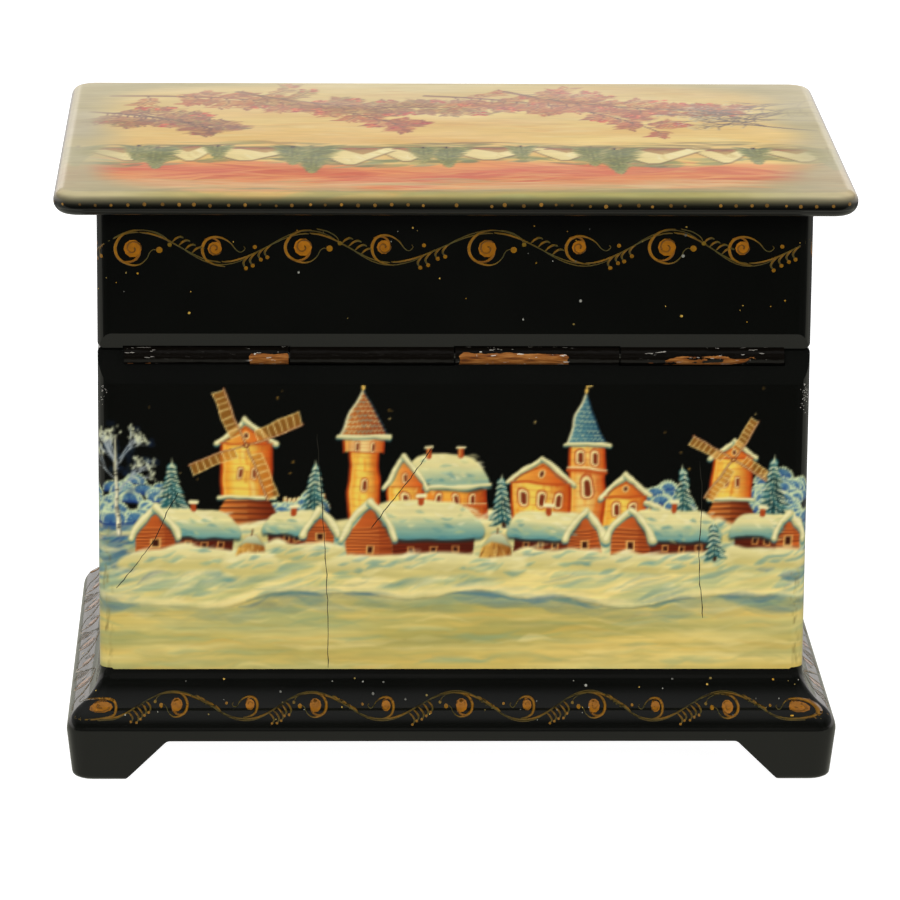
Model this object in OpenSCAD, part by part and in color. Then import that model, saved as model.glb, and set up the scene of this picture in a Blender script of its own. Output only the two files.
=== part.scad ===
// Footed lacquer casket: a wound papier-mache case on a bracket-foot plinth,
// with an overhanging lid on a row of rolled knuckles and one wire pin.
// X runs along the width, +Y is the hinge side and +Z is up. The origin is on
// the ground under the middle of the box. Lengths are in millimetres.

/* [Case] */
// Width over the walls
body_w = 150; // [110:1:220]
// Depth over the walls
body_d = 102; // [80:1:160]
// Height of the joint between case and lid above the ground
parting_z = 92.9; // [70:0.1:140]
// Thickness of the wound walls of case and lid
wall = 5.5; // [5:0.1:8]
// Radius of the upright corners outside
corner_r = 3; // [2:0.1:8]
// Radius of the upright corners inside
inner_corner_r = 1.5; // [0.5:0.1:4]
// Thickness of the floor board
floor_t = 5; // [3:0.1:8]
// Softened edge of case and lid where they meet
seam_r = 1.1; // [0.5:0.1:1.8]

/* [Lid] */
// Height of the lid wall from the joint to the underside of the top plate
lid_wall_h = 30.3; // [18:0.1:60]
// Thickness of the top plate
plate_t = 5.1; // [5:0.1:8]
// How far the top plate stands out past the walls
plate_overhang = 8.7; // [5:0.1:14]
// Radius of the top plate's corners in plan
plate_corner_r = 5.5; // [4:0.1:12]
// Rounding of the plate's lower edge
plate_low_r = 2.6; // [1:0.1:2.6]
// Rounding of the plate's upper edge
plate_high_r = 2.3; // [0.4:0.1:2.3]
// Lacquer fillet in the corner under the plate
plate_fillet = 1.2; // [0.5:0.1:3]

/* [Inner collar] */
// Thickness of the collar ring that the lid closes over
collar_t = 2; // [1.5:0.1:3]
// How far the collar stands above the joint
collar_rise = 5; // [3:0.1:8]
// How far the collar reaches down inside the case
collar_drop = 16; // [10:0.5:40]
// Gap between the raised collar and the lid wall
collar_gap = 0.5; // [0.4:0.05:1]
// Rounding of the collar's top edge
collar_edge_r = 0.6; // [0.2:0.1:0.7]

/* [Plinth] */
// Height of the feet under the apron
foot_h = 9; // [5:0.1:16]
// Height of the whole plinth
plinth_h = 23.3; // [22:0.1:40]
// How far the plinth's nose stands out past the walls
plinth_out = 7; // [5:0.1:9]
// Radius of the convex nose
nose_r = 5.5; // [4:0.1:6]
// How far the feet taper back in below the nose
foot_taper = 1; // [0:0.1:2]
// Rounding under the feet
foot_edge_r = 1.3; // [0.5:0.1:2]
// Length of each foot on the ground, from the plinth's corner
foot_len = 12.4; // [10:0.1:24]
// Rounding at both ends of the foot's slanted inner edge
bracket_r = 1.6; // [0.5:0.1:2.4]
// Radius of the plinth's mitred corners in plan
plinth_corner_r = 2.6; // [1:0.1:4]

/* [Hinge] */
// Diameter of the rolled knuckles
knuckle_d = 3.8; // [3.4:0.1:4.2]
// How far the row of knuckles stops short of each side of the case
hinge_end = 5.5; // [5:0.5:30]
// Gap between neighbouring knuckles
knuckle_gap = 0.3; // [0.2:0.05:0.6]
// Depth of the hinge axis below the joint
axis_drop = 1.6; // [1.4:0.1:1.9]
// Diameter of the wire pin
pin_d = 1.2; // [0.8:0.1:1.6]
// Running clearance round the pin in the lid's knuckles
pin_play = 0.05; // [0.02:0.01:0.08]
// How far the pin's ends lie inside the row
pin_inset = 1; // [0.5:0.1:3]
// Clearance round a knuckle in the other half's groove
groove_play = 0.25; // [0.2:0.05:0.35]
// Thickness of the tongue that holds a knuckle in its wall
tongue_t = 1; // [0.6:0.1:1.2]
// Length of the tongue from the hinge axis
tongue_len = 6.5; // [4:0.1:9]
// Glue line round a tongue
glue_line = 0.05; // [0.02:0.01:0.1]
// Height of the bevel on the lid's back edge
lid_bevel_h = 3.5; // [2:0.1:6]
// Depth of the bevel on the lid's back edge
lid_bevel_d = 1.85; // [1.5:0.05:1.9]
// Height of the bevel on the case's back edge
case_bevel_h = 7.4; // [5:0.1:10]
// Depth of the bevel on the case's back edge
case_bevel_d = 3.3; // [3:0.1:3.6]

/* [Hidden] */
$fn = 48;
case_h = parting_z - foot_h;
inner_w = body_w - 2 * wall;
inner_d = body_d - 2 * wall;
plate_z = parting_z + lid_wall_h;
knuckle_r = knuckle_d / 2;
hinge_len = body_w - 2 * hinge_end;
knuckle_pitch = hinge_len / 4;
axis_y = body_d / 2 - knuckle_r;
axis_z = parting_z - axis_drop;
groove_r = knuckle_r + groove_play;
tongue_y = -(knuckle_r - tongue_t) / 2 - tongue_t;
// The plinth's cove is the arc that meets both the wall and the nose's arc.
nose_z = foot_h + 1.6;
nose_x = plinth_out - nose_r;
cove_drop = plinth_h - nose_z;
cove_r = (nose_x * nose_x + cove_drop * cove_drop - nose_r * nose_r)
    / (2 * (nose_x + nose_r));
cove_turn = atan2(cove_drop, cove_r - nose_x);
cove_steps = 8;
nose_steps = 7;
foot_steps = 4;
plinth_corner_steps = 5;

// A rectangle with round corners, centred, as squares and circles.
module round_rect(w, d, r) {
    square([w - 2 * r, d], center = true);
    square([w, d - 2 * r], center = true);
    for (sx = [-1, 1], sy = [-1, 1])
        translate([sx * (w / 2 - r), sy * (d / 2 - r)])
            circle(r = r);
}

// An upright prism on that rectangle.
module round_block(w, d, r, z0, z1) {
    translate([0, 0, z0])
        linear_extrude(z1 - z0)
            round_rect(w, d, r);
}

// Carries a profile round that rectangle: the profile's x is the distance out
// from the rectangle's edge, and its y is the height.
module around(w, d, r) {
    for (side = [0, 1]) {
        rotate([0, 0, side * 180])
            translate([w / 2, d / 2 - r, 0])
                rotate([90, 0, 0])
                    linear_extrude(d - 2 * r)
                        children();
        rotate([0, 0, side * 180])
            translate([-w / 2 + r, d / 2, 0])
                rotate([90, 0, 90])
                    linear_extrude(w - 2 * r)
                        children();
    }
    for (sx = [0, 1], sy = [0, 1])
        mirror([sx, 0, 0])
            mirror([0, sy, 0])
                translate([w / 2 - r, d / 2 - r, 0])
                    rotate_extrude(angle = 90)
                        translate([r, 0])
                            children();
}

// What is cut away to round an outer edge: the corner of a square less a disc.
module edge_waste(r) {
    difference() {
        translate([-r, -r])
            square(r + 1);
        translate([-r, -r])
            circle(r = r);
        translate([-r - 1, -r - 2])
            square([1, 2 * r + 4]);
        translate([-r, -r - 1])
            square([r + 2, 1]);
    }
}

// The row's grooves, knuckle by knuckle, seen along X from the hinge axis.
module along_knuckle(i, extra) {
    translate([-hinge_len / 2 + i * knuckle_pitch - extra, axis_y, axis_z])
        rotate([90, 0, 90])
            linear_extrude(knuckle_pitch + 2 * extra)
                children();
}

// Even places in the row belong to the lid, odd ones to the case.
function of_lid(i) = i % 2 == 0;

module back_bevel(depth, height, up) {
    translate([-body_w, body_d / 2, parting_z])
        rotate([90, 0, 90])
            linear_extrude(2 * body_w)
                polygon([[-depth, 0], [0, up * height], [depth, up * height],
                    [depth, -up], [-depth, -up]]);
}

module case_grooves() {
    for (i = [0:3])
        if (of_lid(i)) {
            along_knuckle(i, knuckle_gap / 2) {
                circle(r = groove_r);
                translate([-groove_r, 0])
                    square([3 * groove_r, 2 * groove_r]);
            }
        } else {
            along_knuckle(i, -knuckle_gap / 2) {
                circle(r = knuckle_r);
                square([3 * groove_r, 2 * groove_r]);
            }
            along_knuckle(i, glue_line - knuckle_gap / 2)
                translate([tongue_y - glue_line, -tongue_len - glue_line])
                    square([tongue_t + 2 * glue_line, tongue_len]);
        }
}

module lid_grooves() {
    for (i = [0:3])
        if (of_lid(i)) {
            along_knuckle(i, -knuckle_gap / 2)
                circle(r = knuckle_r);
            along_knuckle(i, glue_line - knuckle_gap / 2)
                translate([tongue_y - glue_line, 0])
                    square([tongue_t + 2 * glue_line, tongue_len + glue_line]);
        } else {
            along_knuckle(i, knuckle_gap / 2)
                circle(r = groove_r);
        }
}

// The wound sleeve of the case, open at both ends.
module case_wall() {
    color("#17130f")
        difference() {
            round_block(body_w, body_d, corner_r, foot_h, parting_z);
            round_block(inner_w, inner_d, inner_corner_r, foot_h - 1, parting_z + 1);
            translate([0, 0, parting_z])
                around(body_w, body_d, corner_r)
                    edge_waste(seam_r);
            back_bevel(case_bevel_d, case_bevel_h, -1);
            case_grooves();
        }
}

// The bottom board, let into the sleeve.
module floor_board() {
    color("#7a1712")
        round_block(inner_w, inner_d, inner_corner_r, foot_h, foot_h + floor_t);
}

// The ring glued inside the case, whose raised lip locates the lid.
module inner_collar() {
    lip_w = inner_w - 2 * collar_gap;
    lip_d = inner_d - 2 * collar_gap;
    lip_z = parting_z + collar_rise;
    color("#8c1c14")
        difference() {
            union() {
                round_block(inner_w, inner_d, inner_corner_r,
                    parting_z - collar_drop, parting_z - collar_gap);
                round_block(lip_w, lip_d, inner_corner_r,
                    parting_z - collar_drop, lip_z);
            }
            round_block(inner_w - 2 * collar_t, inner_d - 2 * collar_t,
                inner_corner_r, parting_z - collar_drop - 1, lip_z + 1);
            translate([0, 0, lip_z])
                around(lip_w, lip_d, inner_corner_r)
                    edge_waste(collar_edge_r);
        }
}

// The lid's wound sleeve, with a lacquer fillet under the plate.
module lid_wall() {
    color("#17130f")
        difference() {
            union() {
                round_block(body_w, body_d, corner_r, parting_z, plate_z);
                translate([0, 0, plate_z])
                    around(body_w, body_d, corner_r)
                        difference() {
                            translate([-corner_r / 2, -plate_fillet])
                                square([corner_r / 2 + plate_fillet, plate_fillet]);
                            translate([plate_fillet, -plate_fillet])
                                circle(r = plate_fillet);
                        }
            }
            round_block(inner_w, inner_d, inner_corner_r, parting_z - 1, plate_z + 1);
            translate([0, 0, parting_z])
                mirror([0, 0, 1])
                    around(body_w, body_d, corner_r)
                        edge_waste(seam_r);
            back_bevel(lid_bevel_d, lid_bevel_h, 1);
            lid_grooves();
        }
}

// The overhanging top plate, round-edged.
module lid_top() {
    w = body_w + 2 * plate_overhang;
    d = body_d + 2 * plate_overhang;
    r = plate_corner_r;
    color("#17130f")
        translate([0, 0, plate_z])
            difference() {
                round_block(w, d, r, 0, plate_t);
                translate([0, 0, plate_t])
                    around(w, d, r)
                        edge_waste(plate_high_r);
                mirror([0, 0, 1])
                    around(w, d, r)
                        edge_waste(plate_low_r);
            }
}

// The plinth's section from the ground up: [distance out, height] pairs.
function foot_side() = [
    for (i = [0:foot_steps])
        let (a = 90 * (1 - i / foot_steps))
        [plinth_out - foot_taper - foot_edge_r + foot_edge_r * cos(a),
         foot_edge_r - foot_edge_r * sin(a)]
];
function nose_side() = [
    for (i = [0:nose_steps])
        let (a = cove_turn * i / nose_steps)
        [nose_x + nose_r * cos(a), nose_z + nose_r * sin(a)]
];
function cove_side() = [
    for (i = [1:cove_steps])
        let (a = cove_turn * (1 - i / cove_steps))
        [cove_r - cove_r * cos(a), plinth_h - cove_r * sin(a)]
];
plinth_side = concat(foot_side(), nose_side(), cove_side());

// The plinth's outline at a given distance out, its corners rounded in arcs.
function plinth_ring(out) = let (
        r = min(plinth_corner_r + out / 4, corner_r + out),
        cx = body_w / 2 + out - r,
        cy = body_d / 2 + out - r
    ) [
        for (q = [0:3], i = [0:plinth_corner_steps])
            let (a = 90 * (q + i / plinth_corner_steps))
            [(q == 0 || q == 3 ? cx : -cx) + r * cos(a),
             (q < 2 ? cy : -cy) + r * sin(a)]
    ];

// The whole moulding as one loft, before it is cut into its four strips.
module plinth_loft() {
    n = 4 * (plinth_corner_steps + 1);
    m = len(plinth_side);
    polyhedron(
        points = [
            for (s = plinth_side)
                for (p = plinth_ring(s[0]))
                    [p[0], p[1], s[1]]
        ],
        faces = concat(
            [[for (i = [0:n - 1]) i]],
            [[for (i = [0:n - 1]) m * n - 1 - i]],
            [
                for (j = [0:m - 2], i = [0:n - 1])
                    [j * n + i, (j + 1) * n + i, (j + 1) * n + (i + 1) % n]
            ],
            [
                for (j = [0:m - 2], i = [0:n - 1])
                    [j * n + i, (j + 1) * n + (i + 1) % n, j * n + (i + 1) % n]
            ]
        )
    );
}

// The opening between two feet: slanted at 45 degrees, its corners rounded.
module apron_gap(side_len) {
    half = side_len / 2 + plinth_out - foot_len;
    top = half - foot_h;
    ease = bracket_r * tan(22.5);
    difference() {
        union() {
            polygon([[-half, 0], [-top, foot_h], [top, foot_h], [half, 0]]);
            translate([-half - ease, -1])
                square([2 * (half + ease), 1]);
            for (s = [-1, 1])
                polygon([[s * (half + ease), 0], [s * half, 0],
                    [s * (half - ease * cos(45)), ease * sin(45)]]);
        }
        for (s = [-1, 1]) {
            translate([s * (half + ease), bracket_r])
                circle(r = bracket_r);
            translate([s * (top + ease * cos(45)), foot_h])
                polygon([[0, -ease * sin(45)], [0, 1], [-s * 2 * ease, 1], [-s * 2 * ease, 0]]);
        }
    }
    for (s = [-1, 1])
        translate([s * (top - ease), foot_h - bracket_r])
            circle(r = bracket_r);
}

// One of the four strips, cut off at 45 degrees through its corners.
module plinth_strip(side_len, turn) {
    other = turn % 180 == 0 ? body_d : body_w;
    reach = side_len / 2 + 20;
    lead = (other - side_len) / 2;
    color("#17130f")
        difference() {
            intersection() {
                plinth_loft();
                rotate([0, 0, turn])
                    translate([0, 0, -1])
                        linear_extrude(plinth_h + 2)
                            polygon([[-reach, -reach - lead], [reach, -reach - lead],
                                [side_len / 4, -side_len / 4 - lead],
                                [-side_len / 4, -side_len / 4 - lead]]);
            }
            round_block(body_w, body_d, corner_r, -1, plinth_h + 1);
            rotate([0, 0, turn])
                translate([0, -other / 4, 0])
                    rotate([90, 0, 0])
                        linear_extrude(other)
                            apron_gap(side_len);
        }
}

module plinth_front() {
    plinth_strip(body_w, 0);
}

module plinth_right() {
    plinth_strip(body_d, 90);
}

module plinth_back() {
    plinth_strip(body_w, 180);
}

module plinth_left() {
    plinth_strip(body_d, 270);
}

// A rolled tube with a flat tongue that is glued into its wall.
module knuckle(i) {
    up = of_lid(i) ? 1 : -1;
    bore_r = pin_d / 2 + (of_lid(i) ? pin_play : 0);
    color("#1d1712")
        difference() {
            along_knuckle(i, -knuckle_gap / 2) {
                circle(r = knuckle_r);
                translate([tongue_y, up > 0 ? 0 : -tongue_len])
                    square([tongue_t, tongue_len]);
            }
            along_knuckle(i, 1)
                circle(r = bore_r);
        }
}

// The wire pin, its ends hidden inside the end knuckles.
module hinge_pin() {
    color("#8d9094")
        translate([-hinge_len / 2 + pin_inset, axis_y, axis_z])
            rotate([0, 90, 0])
                cylinder(d = pin_d, h = hinge_len - 2 * pin_inset);
}

case_wall();
floor_board();
inner_collar();
plinth_front();
plinth_back();
plinth_left();
plinth_right();
knuckle(1);  // case_knuckle_inner
knuckle(3);  // case_knuckle_outer
hinge_pin();
lid_wall();
lid_top();
knuckle(2);  // lid_knuckle_inner
knuckle(0);  // lid_knuckle_outer
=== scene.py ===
"""Lacquered papier-mache casket with a painted winter village, seen from its hinge side."""

import math

import bmesh
import bpy
import numpy as np
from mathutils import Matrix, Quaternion, Vector
from mathutils.bvhtree import BVHTree


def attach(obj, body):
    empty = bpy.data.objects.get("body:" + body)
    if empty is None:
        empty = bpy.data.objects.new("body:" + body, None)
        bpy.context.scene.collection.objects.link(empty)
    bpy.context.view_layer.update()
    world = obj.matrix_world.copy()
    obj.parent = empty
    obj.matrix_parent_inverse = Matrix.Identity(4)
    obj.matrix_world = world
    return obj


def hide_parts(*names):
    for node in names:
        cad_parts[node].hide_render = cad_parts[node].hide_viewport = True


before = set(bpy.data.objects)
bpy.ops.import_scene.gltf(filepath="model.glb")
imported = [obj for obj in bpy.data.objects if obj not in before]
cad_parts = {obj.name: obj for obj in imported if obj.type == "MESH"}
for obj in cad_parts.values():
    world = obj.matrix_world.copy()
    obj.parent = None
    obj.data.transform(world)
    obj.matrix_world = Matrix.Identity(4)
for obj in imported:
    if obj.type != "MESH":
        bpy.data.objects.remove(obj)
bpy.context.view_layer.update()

MM = 0.001

# Sizes shared with the CAD, in millimetres
BODY_W = 150.0
BODY_D = 102.0
CORNER_R = 3.0
PAINT_LOW = 22.9
PAINT_HIGH = 85.3
PLATE_W = 167.4
PLATE_D = 119.4
PLATE_TOP = 128.3
PLATE_CORNER_R = 5.5
PLATE_HIGH_R = 2.3
PLATE_LOW_R = 2.6
PLATE_SIDE = 0.2
PLATE_RING = (PLATE_W / 2 - PLATE_CORNER_R, PLATE_D / 2 - PLATE_CORNER_R, PLATE_CORNER_R)
PLATE_UNDER = 123.2
INSIDE_X = 69.5
INSIDE_Y = 45.5

# How far a film of paint stands off the lacquer, and how far the lid picture's hem sinks into it
FILM = 0.02
SUNK = 0.05

# Camera

CAMERA_AT = (36.13, 1208.53, 379.64)
CAMERA_LOOKS = (-0.02945, -0.96587, -0.25735)
CAMERA_ROLL = 0.0085


def put(name, data):
    """A new object in the scene, at its origin."""
    made = bpy.data.objects.new(name, data)
    bpy.context.scene.collection.objects.link(made)
    return made


lens = bpy.data.cameras.new("camera")
lens.sensor_width = 36.0
lens.sensor_fit = "HORIZONTAL"
lens.lens = 227.33
lens.clip_start = 0.05
lens.clip_end = 60.0
camera = put("camera", lens)
camera.location = Vector(CAMERA_AT) * MM
camera.rotation_mode = "QUATERNION"
turn = Vector(CAMERA_LOOKS).to_track_quat("-Z", "Y")
roll = Quaternion((0.0, 0.0, 1.0), CAMERA_ROLL)
camera.rotation_quaternion = turn @ roll
bpy.context.scene.camera = camera
bpy.context.scene.view_settings.view_transform = "Standard"


# Colour and node helpers

def srgb(code):
    """The sRGB parts of a hex colour, each from 0 to 1."""
    return np.array([int(code[i:i + 2], 16) / 255 for i in (1, 3, 5)])


def linear(colour):
    """sRGB parts, or a hex colour, as the linear numbers that Blender shades with."""
    parts = srgb(colour) if isinstance(colour, str) else np.asarray(colour, float)
    return np.where(parts <= 0.04045, parts / 12.92, ((parts + 0.055) / 1.055) ** 2.4)


def rgba(code):
    return (*[float(part) for part in linear(code)], 1.0)


def add(tree, kind, sockets=None, **settings):
    """Adds a node, with its settings, and its sockets set or linked."""
    made = tree.nodes.new(kind)
    for name, value in settings.items():
        setattr(made, name, value)
    for name, value in (sockets or {}).items():
        if isinstance(value, bpy.types.NodeSocket):
            tree.links.new(value, made.inputs[name])
        else:
            made.inputs[name].default_value = value
    return made


def new_material(name):
    made = bpy.data.materials.new(name)
    made.use_nodes = True
    made.node_tree.nodes.clear()
    return made, made.node_tree


def ramp(tree, factor, stops):
    made = add(tree, "ShaderNodeValToRGB", {"Fac": factor})
    marks = made.color_ramp.elements
    for index, (place, code) in enumerate(stops):
        mark = marks[index] if index < 2 else marks.new(place)
        mark.position = place
        mark.color = rgba(code)
    return made.outputs["Color"]


def noise(tree, place, scale, detail):
    return add(tree, "ShaderNodeTexNoise", {"Vector": place, "Scale": scale, "Detail": detail}).outputs["Fac"]


def stretched(tree, place, along, aside):
    """Places scaled apart along and across X, for marks that run lengthwise."""
    return add(tree, "ShaderNodeMapping", {"Vector": place, "Scale": (along, aside, aside)}).outputs["Vector"]


def span(tree, value, start, end, low=0.0, high=1.0):
    """A value brought from one span to another, and held at its ends."""
    sockets = {"Value": value, "From Min": start, "From Max": end, "To Min": low, "To Max": high}
    return add(tree, "ShaderNodeMapRange", sockets).outputs["Result"]


def sum_up(tree, first, second, operation="ADD"):
    return add(tree, "ShaderNodeMath", {0: first, 1: second}, operation=operation).outputs["Value"]


def bumped(tree, height, distance, strength):
    sockets = {"Height": height, "Distance": distance, "Strength": strength}
    return add(tree, "ShaderNodeBump", sockets).outputs["Normal"]


def object_places(tree):
    return add(tree, "ShaderNodeTexCoord").outputs["Object"]


def waves(tree, depth, scale):
    """The soft unevenness of many rubbed coats of lacquer over moulded paper."""
    place = object_places(tree)
    return place, bumped(tree, noise(tree, place, scale, 2.0), depth, 0.6)


def surface(tree, sockets, coat=None):
    """The material's shader. A coat, given by its roughness, is clear lacquer over all of it."""
    if coat is not None:
        sockets = {**sockets, "Coat Weight": 1.0, "Coat Roughness": coat, "Coat IOR": 1.5}
    body = add(tree, "ShaderNodeBsdfPrincipled", sockets)
    add(tree, "ShaderNodeOutputMaterial", {"Surface": body.outputs["BSDF"]})


# Materials

RUBBED_GLOSS = 0.035
INNER_GLOSS = 0.08
WAVE_DEPTH = 0.00022


def black_lacquer():
    """Black lacquer over papier-mache, hand rubbed: deep black with a wet clear gloss."""
    made, tree = new_material("black_lacquer")
    place, uneven = waves(tree, WAVE_DEPTH, 26.0)
    base = ramp(tree, noise(tree, place, 60.0, 4.0), [(0.3, "#080907"), (0.7, "#0B0C09")])
    surface(tree, {"Base Color": base, "Roughness": 0.4, "IOR": 1.5, "Specular IOR Level": 0.12,
                   "Coat Normal": uneven}, RUBBED_GLOSS)
    return made


def lacquered_painting():
    """Tempera and oil under clear lacquer: brushed colour, blended, with the lacquer's gloss."""
    made, tree = new_material("lacquered_painting")
    uneven = waves(tree, WAVE_DEPTH, 26.0)[1]
    paint = add(tree, "ShaderNodeVertexColor", layer_name="paint").outputs["Color"]
    surface(tree, {"Base Color": paint, "Roughness": 0.45, "IOR": 1.5, "Specular IOR Level": 0.12,
                   "Coat Normal": uneven}, RUBBED_GLOSS)
    return made


def red_lacquer():
    """Red lacquer of the inside: brighter and a little less rubbed than the outside."""
    made, tree = new_material("red_lacquer")
    place, uneven = waves(tree, 0.0004, 30.0)
    base = ramp(tree, noise(tree, place, 90.0, 5.0), [(0.3, "#8E1410"), (0.7, "#A81D14")])
    surface(tree, {"Base Color": base, "Roughness": 0.35, "IOR": 1.5, "Specular IOR Level": 0.3,
                   "Coat Normal": uneven}, INNER_GLOSS)
    return made


# How far the lacquer is rubbed off along the hinge, from its left end in the photograph's view to its right
HINGE_WEAR = [
    (0.0, "#000000"), (1.0, "#000000"), (0.055, "#000000"), (0.065, "#9A9A9A"), (0.15, "#C8C8C8"),
    (0.225, "#B4B4B4"), (0.24, "#101010"), (0.335, "#101010"), (0.345, "#F4F4F4"), (0.49, "#FFFFFF"),
    (0.497, "#101010"), (0.728, "#101010"), (0.733, "#F0F0F0"), (0.785, "#F4F4F4"), (0.79, "#202020"),
    (0.915, "#202020"), (0.925, "#A8A8A8"), (0.957, "#B0B0B0"), (0.965, "#000000"),
]


# The heights, in metres, between which the wear of the knuckles fades out towards their tops
WEAR_FADES = (0.0926, 0.0915)


def worn_barrel():
    """Rolled paper of the hinge, lacquered black: rubbed through to ochre paper where the halves turn."""
    made, tree = new_material("worn_rolled_paper")
    place = object_places(tree)
    parts = add(tree, "ShaderNodeSeparateXYZ", {0: place})
    rubbed = ramp(tree, span(tree, parts.outputs["X"], -BODY_W / 2 * MM, BODY_W / 2 * MM), HINGE_WEAR)
    patchy = noise(tree, stretched(tree, place, 220.0, 620.0), 1.0, 5.0)
    outward = span(tree, parts.outputs["Z"], *WEAR_FADES, -0.9, 0.0)
    bare = sum_up(tree, sum_up(tree, rubbed, outward), patchy)
    bare_edge = ramp(tree, bare, [(0.0, "#000000"), (1.0, "#FFFFFF"), (0.98, "#000000")])
    grain = noise(tree, stretched(tree, place, 300.0, 2600.0), 1.0, 3.0)
    paper = ramp(tree, grain, [(0.3, "#5A2E10"), (0.75, "#BC8244"), (0.5, "#94581E")])
    colour = add(tree, "ShaderNodeMix", {0: bare_edge, 6: rgba("#0D0A07"), 7: paper}, data_type="RGBA")
    flakes = noise(tree, stretched(tree, place, 420.0, 1900.0), 1.0, 2.0)
    scratched = sum_up(tree, sum_up(tree, flakes, 0.66, "GREATER_THAN"), rubbed, "MULTIPLY")
    colour = add(tree, "ShaderNodeMix", {0: scratched, 6: colour.outputs[2], 7: rgba("#D8D2C6")},
                 data_type="RGBA")
    surface(tree, {
        "Base Color": colour.outputs[2], "Roughness": span(tree, bare_edge, 0.0, 1.0, 0.2, 0.6), "IOR": 1.5,
        "Specular IOR Level": 0.35, "Normal": bumped(tree, patchy, 0.0003, 0.7),
    })
    return made


def bare_ground():
    """The chalky ground under the lacquer, bared where an edge was knocked: off-white and dull."""
    made, tree = new_material("chipped_ground")
    speck = noise(tree, object_places(tree), 1400.0, 3.0)
    base = ramp(tree, speck, [(0.35, "#6F6A60"), (0.65, "#E6E2DA")])
    surface(tree, {"Base Color": base, "Roughness": 0.7})
    return made


def steel_wire():
    """Drawn steel wire of the hinge: grey metal with fine marks along its length."""
    made, tree = new_material("steel_wire")
    marks = noise(tree, stretched(tree, object_places(tree), 40.0, 2500.0), 1.0, 3.0)
    base = ramp(tree, marks, [(0.35, "#6E6B66"), (0.65, "#A39F98")])
    surface(tree, {"Base Color": base, "Metallic": 1.0, "Roughness": 0.34,
                   "Normal": bumped(tree, marks, 0.00002, 0.5)})
    return made


def gold_paint():
    """Powdered gold and ochre paint laid with a fine brush: warm, thin where the brush ran dry."""
    made, tree = new_material("gold_paint")
    grain = noise(tree, object_places(tree), 900.0, 3.0)
    paint = add(tree, "ShaderNodeVertexColor", layer_name="paint").outputs["Color"]
    speckle = ramp(tree, grain, [(0.3, "#C8C8C8"), (0.65, "#FFFFFF")])
    base = add(tree, "ShaderNodeMix", {0: 0.7, 6: paint, 7: speckle}, data_type="RGBA", blend_type="MULTIPLY")
    surface(tree, {"Base Color": base.outputs[2], "Metallic": 0.12, "Roughness": 0.4}, RUBBED_GLOSS)
    return made


# Stage and light

def pale_floor(name, mirrored):
    """A pale plain floor: soft white, a little dimmer where the box's gloss looks at it."""
    made, tree = new_material(name)
    lit = add(tree, "ShaderNodeBsdfDiffuse", {"Color": (0.35, 0.35, 0.35, 1.0)})
    glow = add(tree, "ShaderNodeEmission", {"Color": (1.0, 1.0, 1.0, 1.0), "Strength": 0.97})
    seen = add(tree, "ShaderNodeAddShader", {0: lit.outputs["BSDF"], 1: glow.outputs["Emission"]})
    dim = add(tree, "ShaderNodeEmission", {"Color": (1.0, 1.0, 0.85, 1.0), "Strength": mirrored})
    ray = add(tree, "ShaderNodeLightPath")
    both = add(tree, "ShaderNodeMixShader", {
        0: ray.outputs["Is Glossy Ray"], 1: seen.outputs["Shader"], 2: dim.outputs["Emission"],
    })
    add(tree, "ShaderNodeOutputMaterial", {"Surface": both.outputs["Shader"]})
    return made


def stage_floor():
    """The wide floor is seen but not mirrored; a strip as wide as a studio table is mirrored too."""
    for name, half_x, half_y, height, mirrored in (
            ("floor", 6.0, 6.0, -0.0004, 0.0), ("table_top", 1.6, 0.15, -0.0002, 0.36)):
        mesh = bpy.data.meshes.new(name)
        bm = bmesh.new()
        bmesh.ops.create_grid(bm, x_segments=1, y_segments=1, size=1.0)
        for vert in bm.verts:
            vert.co = (vert.co.x * half_x, vert.co.y * half_y, height)
        bm.to_mesh(mesh)
        bm.free()
        mesh.materials.append(pale_floor(name + "_white", mirrored))
        piece = put(name, mesh)
        piece.visible_diffuse = False
        piece.visible_glossy = mirrored > 0


stage_floor()


LIGHTS_AIM = Vector((0.0, 0.0, 0.06))


def soft_light(name, at, size, power):
    data = bpy.data.lights.new(name, "AREA")
    data.shape = "RECTANGLE"
    data.size, data.size_y = size
    data.energy = power
    lamp = put(name, data)
    lamp.location = at
    lamp.rotation_euler = (LIGHTS_AIM - Vector(at)).to_track_quat("-Z", "Y").to_euler()
    lamp.visible_camera = False
    lamp.visible_glossy = False


# Name, place, size and power
for lamp in (
        ("key", (0.6, 2.2, 1.5), (1.6, 1.0), 27.0),
        ("key_right", (-1.4, 1.9, 1.1), (1.2, 0.9), 14.0),
        ("key_low", (0.25, 2.4, 0.45), (1.5, 0.6), 11.0),
        ("top", (0.0, 0.2, 2.4), (2.4, 2.4), 20.0),
        ("fill_front", (0.3, -2.3, 1.5), (1.6, 1.0), 28.0),
        ("fill_left", (2.4, -0.2, 1.2), (1.2, 1.0), 20.0),
        ("fill_right", (-2.4, -0.2, 1.2), (1.2, 1.0), 20.0)):
    soft_light(*lamp)


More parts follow.
